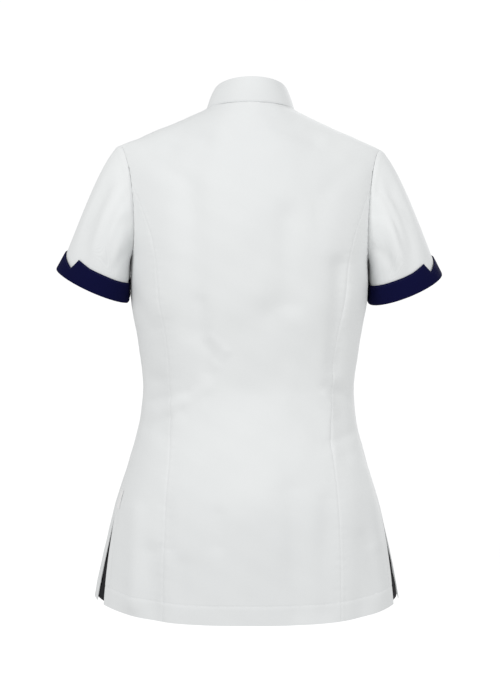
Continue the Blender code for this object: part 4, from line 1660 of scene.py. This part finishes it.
@dataclass
class Cuff:
    """A navy turned-up cuff with a one-sided notch, and its edge stitches."""

    form: SleeveForm
    wardrobe: Wardrobe
    wall: float = 1.5 * MM
    height: float = 0.027
    below_sleeve: float = 0.003
    gap: float = 0.6 * MM
    flare: float = 3.0 * MM
    roll: float = 0.5 * MM
    roll_spans: tuple[float, float] = (0.03, 0.025)
    step: float = 3.75
    corner_step: float = 1.2
    climb_steps: int = 40
    stitch_inset: float = 2.2 * MM
    stitch_groove: Welt = Welt(-0.15, 2.2, 0.8)
    thread_radius: float = 0.2 * MM
    pucker: Welt = Welt(0.18, 8, 9)
    seed: float = 2.2
    rows: tuple[float, ...] = (0, 0.02, 0.06, 0.14, 0.24, 0.34, 0.44, 0.54, 0.64, 0.74, 0.84, 0.91, 0.96,
                               0.985, 1)
    corners: tuple[CuffCorner, ...] = (
        CuffCorner(4, 0.0), CuffCorner(45, -0.011), CuffCorner(52, 0.004),
        CuffCorner(75, 0.001), CuffCorner(120, 0.0),
    )

    def top(self, turn: float) -> float:
        """Return the height of the top edge, notch included.

        Args:
            turn: The turn round the sleeve.

        Returns:
            The height, in metres.
        """
        turn %= 360
        for low, high in zip(self.corners, self.corners[1:]):
            if low.turn <= turn <= high.turn:
                share = (turn - low.turn) / (high.turn - low.turn)
                return self.height + mix(low.rise, high.rise, share)
        return self.height

    def column(self, turn: float) -> list[Vector]:
        """Return the points of a column of the cuff's net, from its lower edge up.

        Args:
            turn: The turn round the sleeve.

        Returns:
            The points.
        """
        alongs = [1 - k / self.climb_steps for k in range(self.climb_steps)]
        climbed = run_along(np.array([self.form.point(turn, along) for along in alongs]))
        upward = self.form.axes()[2] * Vector((self.form.side.value, 1, 1))
        column = []
        for share in self.rows:
            height = share * self.top(turn) - self.below_sleeve
            along = float(np.interp(max(height, 0), climbed, alongs))
            lift = self.gap + self.flare * (1 - (height + self.below_sleeve) / self.height)
            rolled = sum(math.exp(-(far / span) ** 2)
                         for far, span in zip((share, 1 - share), self.roll_spans))
            out = max(lift, self.gap) + self.wall - self.roll * rolled
            place = self.form.point(turn, along) + upward * min(height, 0)
            column.append(place + self.form.normal(turn, along) * out)
        return column

    def build(self) -> list[bpy.types.Object]:
        """Build the cuff and its stitches.

        Returns:
            The pieces.
        """
        side = self.form.side
        turns = set(np.arange(-180, 180 + self.step / 2, self.step))
        turns |= {corner.turn for corner in self.corners}
        turns |= {corner.turn + step for corner in self.corners[:-1]
                  for step in (-self.corner_step, self.corner_step)}
        points = np.array([self.column(float(turn)) for turn in sorted(turns)]).transpose(1, 0, 2)
        shell = ClothShell(f"cuff_{side.word}_cloth", points, -side.value, wall=self.wall, closed=True)
        down, run = shell.along(0, True), shell.along(1)
        waves = ripple(run, self.seed + side.value)
        shell.lift(waves * self.pucker.over(down) + self.stitch_groove.over(down))
        item = self.wardrobe.dress(shell.build(), self.wardrobe.navy_twill, f"cuff_{side.word}")
        line = shell.line(shell.along(0, True), self.stitch_inset, 0)
        stitches = Sewing(radius=self.thread_radius).sew(f"cuff_{side.word}_stitches", [line])
        return [item, self.wardrobe.dress(stitches, self.wardrobe.navy_thread)]


@dataclass
class Collar:
    """The stand collar, open at the centre front."""

    form: BodyForm
    wardrobe: Wardrobe
    wall: float = 1.5 * MM
    top_half_width: float = 0.050
    top_y: float = -0.006
    top_back_reach: float = 0.060
    top_front_reach: float = 0.063
    top_side_z: float = 0.028
    top_back_rise: float = 0.010
    top_front_drop: float = 0.064
    base_gap: float = 0.1 * MM
    base_lean: float = 0.5
    end_angle: float = 0.25
    end_spread: float = 5.0
    back_stops: int = 22
    front_stops: int = 26
    end_stops: tuple[float, ...] = (2.2, 2.4, 2.6, 2.8, 2.9, 3)
    rows: tuple[float, ...] = (0, 0.02, 0.05, 0.09, 0.14, 0.22, 0.32, 0.42, 0.52, 0.62, 0.72, 0.82, 0.90,
                               0.95, 0.975, 0.99, 1)
    crown: float = 0.9 * MM
    seam_groove: Welt = Welt(-0.7, 0, 1.3)
    top_roll: Welt = Welt(-0.55, 0, 1.0)
    pucker: Welt = Welt(0.25, 4, 7)
    pucker_seed: float = 0.4
    swell: Welt = Welt(0.3, 10, 9)
    swell_length: float = 0.093
    swell_start: float = 1.2

    def top(self, angle: float) -> Vector:
        """Return the top edge of the collar above a point of the neckline.

        Args:
            angle: The angle round the body.

        Returns:
            The point of the edge.
        """
        turn = self.form.from_centre(angle) / self.form.neck_angle * math.pi / 2
        deep = max(math.cos(turn), 0)
        reach, rise = self.top_back_reach, self.top_back_rise * deep
        if abs(angle) > 90:
            reach, rise = -self.top_front_reach, -self.top_front_drop * deep ** self.form.neck_front_bend
        x = math.copysign(self.top_half_width * math.sin(turn), angle)
        return Vector((x, self.top_y + reach * deep, self.top_side_z + rise))

    def point(self, angle: float, share: float) -> Vector:
        """Return a point of the collar's outer side, from its seam (0) to its top (1).

        Args:
            angle: The angle round the body.
            share: The share of the way up.

        Returns:
            The point.
        """
        base = self.form.top_edge(angle)
        inward = Vector((-base.x, self.form.neck_side_y - base.y, 0)).normalized()
        base += (inward * self.base_lean + Vector((0, 0, 1))).normalized() * self.base_gap
        spread = ease(abs(angle), self.form.placket_edge(1), 180) * self.end_spread
        return mix(base, self.top(angle - math.copysign(spread, angle)), share)

    def angle(self, stop: float) -> float:
        """Turn a stop round the neck into an angle: 1 is a shoulder, 2 the placket, 3 the end.

        Args:
            stop: The stop, minus on the right.

        Returns:
            The angle.
        """
        share, edge = abs(stop), self.form.placket_edge(1)
        if share <= 1:
            angle = share * self.form.neck_angle
        elif share <= 2:
            angle = mix(180 - self.form.neck_angle, edge, share - 1)
        else:
            angle = mix(edge, 180 - self.end_angle, share - 2)
        return math.copysign(angle, stop)

    def build(self) -> list[bpy.types.Object]:
        """Build the collar.

        Returns:
            The piece, in a list.
        """
        half = even(self.back_stops)[1:] + [1 + share for share in even(self.front_stops)[1:]]
        half += self.end_stops
        stops = [-stop for stop in reversed(half)] + [0.0] + half
        points = np.array([[self.point(self.angle(stop), share) for stop in stops] for share in self.rows])
        shell = ClothShell("collar_cloth", points, 1, wall=self.wall)
        up, down, run = shell.along(0), shell.along(0, True), shell.along(1)
        total = self.crown * np.sin(np.pi * np.clip(up / (up + down), 0, 1))
        total += self.seam_groove.over(up) + self.top_roll.over(down)
        total += ripple(run, self.pucker_seed) * self.pucker.over(up)
        total += wave(run, self.swell_length, self.swell_start) * self.swell.over(down)
        shell.lift(total)
        item = self.wardrobe.dress(shell.build(), self.wardrobe.white_twill, "collar")
        return [item]


@dataclass
class Strip:
    """A strip of cloth that lies on the body or behind it, between two edges."""

    form: BodyForm
    name: str
    sign: int
    edges: Callable[[float], tuple[float, float]]
    levels: Sequence[float]
    lift: float
    wall: float
    columns: int

    def shell(self) -> ClothShell:
        """Return the strip's shell, moved out from the body's surface by its lift.

        Returns:
            The shell.
        """
        rows = []
        for level in self.levels:
            angles = [self.sign * mix(*self.edges(level), share) for share in even(self.columns)]
            rows.append([self.form.point(angle, level) + self.form.normal(angle, level) * self.lift
                         for angle in angles])
        return ClothShell(self.name, np.array(rows), self.sign, wall=self.wall)


@dataclass
class FrontOpening:
    """The strip over the front opening, and the press studs that close it."""

    form: BodyForm
    wardrobe: Wardrobe
    wall: float = 1.2 * MM
    lift: float = 1.9 * MM
    columns: int = 24
    edge_roll: Welt = Welt(-0.45, 0, 1.0)
    stitch_inset: float = 2.6 * MM
    stitch_groove: Welt = Welt(-0.3, 2.6, 1.0)
    pucker: Welt = Welt(0.15, 2.6, 4)
    pucker_seed: float = 3.3
    stud_count: int = 7
    stud_first_z: float = -0.088
    stud_last_z: float = -0.604
    stud_radius: float = 5.2 * MM
    stud_height: float = 2.1 * MM
    stud_sink: float = 0.1 * MM
    stud_steps: int = 36
    stud_sharp: float = 50
    stud_profile: tuple[tuple[float, float], ...] = (
        (0.0, 0.0), (1.0, 0.0), (1.0, 0.30), (0.97, 0.46), (0.90, 0.56), (0.80, 0.60), (0.72, 0.66),
        (0.60, 0.84), (0.45, 0.95), (0.30, 0.99), (0.22, 0.94), (0.12, 0.90), (0.0, 0.89))

    def stud(self, name: str, z: float) -> bpy.types.Object:
        """Make one press-stud cap: a rolled rim and a low dome with a dimple.

        Args:
            name: The piece's name.
            z: The height at which it lies on the strip.

        Returns:
            The object.
        """
        level = self.form.level_at(180, z)
        way = self.form.normal(180, level)
        seat = self.form.point(180, level) + way * (self.lift - self.stud_sink)
        outline = [(radius * self.stud_radius, height * self.stud_height)
                   for radius, height in self.stud_profile]
        mesh = spun(outline, self.stud_steps, 1e-6)
        turn = way.to_track_quat("Z", "Y").to_matrix().to_4x4()
        bmesh.ops.transform(mesh, matrix=Matrix.Translation(seat) @ turn, verts=mesh.verts)
        return finish_mesh(name, mesh, self.stud_sharp)

    def build(self, levels: Sequence[float]) -> list[bpy.types.Object]:
        """Build the strip, its stitches and its studs.

        Args:
            levels: The rows that the fronts have.

        Returns:
            The pieces.
        """
        form = self.form
        strip = Strip(form, "front_placket_cloth", 1,
                      lambda level: (form.placket_edge(level), 360 - form.placket_edge(level)),
                      levels, self.lift, self.wall, self.columns).shell()
        near, up = np.minimum(strip.along(1), strip.along(1, True)), strip.along(0)
        strip.lift(self.edge_roll.over(near) + self.stitch_groove.over(near)
                   + ripple(up, self.pucker_seed) * self.pucker.over(near))
        item = self.wardrobe.dress(strip.build(), self.wardrobe.white_twill, "front_placket")
        lines = [strip.line(strip.along(1, from_end), self.stitch_inset, 1, 1, -1)
                 for from_end in (False, True)]
        stitches = self.wardrobe.dress(Sewing().sew("placket_stitches", lines), self.wardrobe.white_thread)
        pieces = [item, stitches]
        for k in range(self.stud_count):
            z = mix(self.stud_first_z, self.stud_last_z, k / (self.stud_count - 1))
            stud = self.stud(f"press_stud_cap_{k + 1}", z)
            pieces.append(self.wardrobe.dress(stud, self.wardrobe.stud_plastic, f"press_stud_{k + 1}"))
        return pieces


@dataclass
class SmallParts:
    """The dark sheets of painted shade behind the side vents, and the blank label of the left side seam."""

    form: BodyForm
    wardrobe: Wardrobe
    # The dark sheets behind the vents, which are painted shade: how they lie and sway
    shade_sheet_lap: float = 0.007
    shade_sheet_gap: float = 1.3 * MM
    shade_sheet_wall: float = 0.9 * MM
    shade_sheet_low_level: float = -0.992
    shade_sheet_net: tuple[int, int] = (44, 14)
    shade_sheet_sway: float = 0.35 * MM
    shade_sheet_sway_length: float = 0.035
    label_top_z: float = -0.520
    label_bottom_z: float = -0.545
    label_width: float = 0.013
    label_lift: float = 0.68 * MM
    label_wall: float = 0.5 * MM
    label_rows: tuple[float, ...] = (0, 0.03, 0.08, 0.2, 0.35, 0.5, 0.65, 0.8, 0.92, 0.97, 1)
    label_columns: int = 12
    label_rise: float = 0.05 * MM
    label_rise_width: float = 10 * MM
    label_roll: Welt = Welt(-0.2, 0, 0.8)
    label_stitch_inset: float = 1.6 * MM
    label_sewing: Sewing = Sewing(length=1.5 * MM, gap=0.5 * MM, radius=0.16 * MM)

    def insert(self, side: Side) -> bpy.types.Object:
        """Make the dark triangle behind one vent, a sheet of painted shade for the shade inside the vent's
        gap.

        Args:
            side: The vent's side.

        Returns:
            The piece.
        """
        form = self.form
        rows, columns = self.shade_sheet_net
        levels = [mix(self.shade_sheet_low_level, form.vent_top, share) for share in even(rows)]

        def edges(level: float) -> tuple[float, float]:
            """Return the sheet's edges, a lap behind the back and the front."""
            back = form.shifted(form.side_back_outer_edge(level), level, -self.shade_sheet_lap)
            return back, form.shifted(form.front_outer_edge(level, side), level, self.shade_sheet_lap)

        # The sheet lies just inside the vent's gap so that the gap shows dark, as painted shade
        shell = Strip(form, f"vent_insert_{side.word}_cloth", side.value, edges, levels,
                      -self.shade_sheet_gap, self.shade_sheet_wall, columns).shell()
        shell.lift(self.shade_sheet_sway * (wave(shell.along(0), self.shade_sheet_sway_length, side.value) - 1))
        item = self.wardrobe.dress(shell.build(), self.wardrobe.vent_shade_cloth, f"vent_insert_{side.word}")
        return item

    def label(self) -> list[bpy.types.Object]:
        """Make the blank label and the stitches of its ends.

        Returns:
            The pieces.
        """
        form = self.form
        bottom, top = (form.level_at(form.side_angle, z) for z in (self.label_bottom_z, self.label_top_z))

        def edges(level: float) -> tuple[float, float]:
            """Return the label's free edge and its seam edge."""
            seam = form.side_seam(level)
            return form.shifted(seam, level, -MM - self.label_width), form.shifted(seam, level, -MM)

        levels = [mix(bottom, top, share) for share in self.label_rows]
        shell = Strip(form, "side_label_tape", 1, edges, levels, self.label_lift, self.label_wall,
                      self.label_columns).shell()
        rise = self.label_rise * soft_step(shell.along(1, True), 0, self.label_rise_width)
        shell.lift(rise + self.label_roll.over(np.minimum(shell.along(0), shell.along(0, True))))
        item = self.wardrobe.dress(shell.build(), self.wardrobe.label_tape, "side_label")
        lines = [shell.line(shell.along(0, from_end), self.label_stitch_inset, 0, 1, -1)
                 for from_end in (False, True)]
        stitches = self.label_sewing.sew("label_stitches", lines)
        return [item, self.wardrobe.dress(stitches, self.wardrobe.white_thread)]

    def build(self) -> list[bpy.types.Object]:
        """Build both dark sheets of painted shade behind the vents, and the label."""
        return [self.insert(side) for side in Side] + self.label()


@dataclass(frozen=True)
class Studio:
    """A pale round studio with a seamless floor, soft lights, and the photo's camera."""

    floor_z: float = -1.40
    floor_radius: float = 3.2
    cove_radius: float = 1.4
    cove_steps: int = 10
    wall_top: float = 4.0
    room_steps: int = 96
    paper_tones: tuple[Colour, Colour] = ((0.90, 0.90, 0.90), (0.92, 0.92, 0.92))
    paper_span: tuple[float, float] = (0.3, 0.7)
    paper_scale: float = 3
    paper_roughness: float = 0.95
    glow: float = 0.40
    world_strength: float = 0.60
    lamps: tuple[Lamp, ...] = (
        Lamp("key_light", (1.9, 2.1, 1.2), 0.9, 37),
        Lamp("fill_light", (-2.1, 2.0, 0.5), 1.6, 24),
        Lamp("front_light", (-1.3, -2.4, 1.1), 1.2, 40),
    )
    camera_distance: float = 2.2
    camera_z: float = -0.331
    camera_turn: float = math.radians(3.5)
    camera_side: float = -0.0017
    camera_roll: float = math.radians(0.47)
    lens: float = 82
    sensor_width: float = 36

    def paper(self) -> bpy.types.Material:
        """Return the pale paper of the room, which glows a little to stay even.

        Returns:
            The material.
        """
        graph = NodeGraph("pale_paper")
        in_space = graph.add("ShaderNodeTexCoord").outputs["Object"]
        spots = graph.noise(in_space, self.paper_scale)
        tone = graph.ramp(spots, *zip(self.paper_span, self.paper_tones))
        return graph.shade(Base_Color=tone, Roughness=self.paper_roughness,
                           Emission_Color=(1, 1, 1, 1), Emission_Strength=self.glow)

    def room(self) -> None:
        """Make the floor, the cove and the wall as one spun sheet."""
        outline = [(0.0, self.floor_z), (self.floor_radius, self.floor_z)]
        for share in even(self.cove_steps)[1:]:
            bend = share * math.pi / 2
            outline.append((self.floor_radius + self.cove_radius * math.sin(bend),
                            self.floor_z + self.cove_radius * (1 - math.cos(bend))))
        outline.append((outline[-1][0], self.wall_top))
        mesh = spun(outline, self.room_steps, 1e-5)
        bmesh.ops.recalc_face_normals(mesh, faces=mesh.faces)
        data = bpy.data.meshes.new("studio_floor")
        mesh.to_mesh(data)
        mesh.free()
        data.shade_smooth()
        data.materials.append(self.paper())
        floor = add_object("studio_floor", data)
        floor.visible_diffuse = False
        floor.visible_glossy = False
        floor.visible_shadow = False

    def hang(self, lamp: Lamp) -> None:
        """Hang a light that faces the tunic.

        Args:
            lamp: The light's values.
        """
        data = bpy.data.lights.new(lamp.name, "AREA")
        data.size = lamp.size
        data.energy = lamp.power
        item = add_object(lamp.name, data)
        item.location = lamp.place
        aim = Vector((0, 0, self.camera_z)) - Vector(lamp.place)
        item.rotation_euler = aim.to_track_quat("-Z", "Y").to_euler()

    def camera(self) -> None:
        """Set the camera where the photo was taken from."""
        data = bpy.data.cameras.new("photo_camera")
        data.lens = self.lens
        data.sensor_width = self.sensor_width
        item = add_object("photo_camera", data)
        aim = Vector((self.camera_side, 0, self.camera_z))
        away = Vector((math.sin(self.camera_turn), math.cos(self.camera_turn), 0))
        item.location = aim + away * self.camera_distance
        level = (-away).to_track_quat("-Z", "Y").to_matrix()
        item.rotation_euler = (Matrix.Rotation(self.camera_roll, 3, away) @ level).to_euler()
        bpy.context.scene.camera = item

    def build(self) -> None:
        """Build the room, the lights and the camera."""
        self.room()
        for lamp in self.lamps:
            self.hang(lamp)
        world = bpy.data.worlds.new("studio_air")
        world.use_nodes = True
        air = world.node_tree.nodes["Background"]
        air.inputs["Color"].default_value = (1, 1, 1, 1)
        air.inputs["Strength"].default_value = self.world_strength
        bpy.context.scene.world = world
        bpy.context.scene.view_settings.view_transform = "Standard"
        self.camera()


def main() -> None:
    """Build the tunic on its frame, then the studio."""
    logging.basicConfig(level=logging.INFO, format="%(message)s")
    body, wardrobe = BodyForm(), Wardrobe()
    Studio().build()
    panels = BodyPanels(body, wardrobe)
    pieces = panels.build()
    for side in Side:
        sleeve = SleeveForm(body, side)
        pieces += Sleeve(sleeve, wardrobe).build()
        pieces += Cuff(sleeve, wardrobe).build()
    pieces += Collar(body, wardrobe).build()
    pieces += FrontOpening(body, wardrobe).build(panels.levels())
    pieces += SmallParts(body, wardrobe).build()
    for piece in pieces:
        LOG.info("%s: %d faces", piece.name, len(piece.data.polygons))


if __name__ == "__main__":
    main()
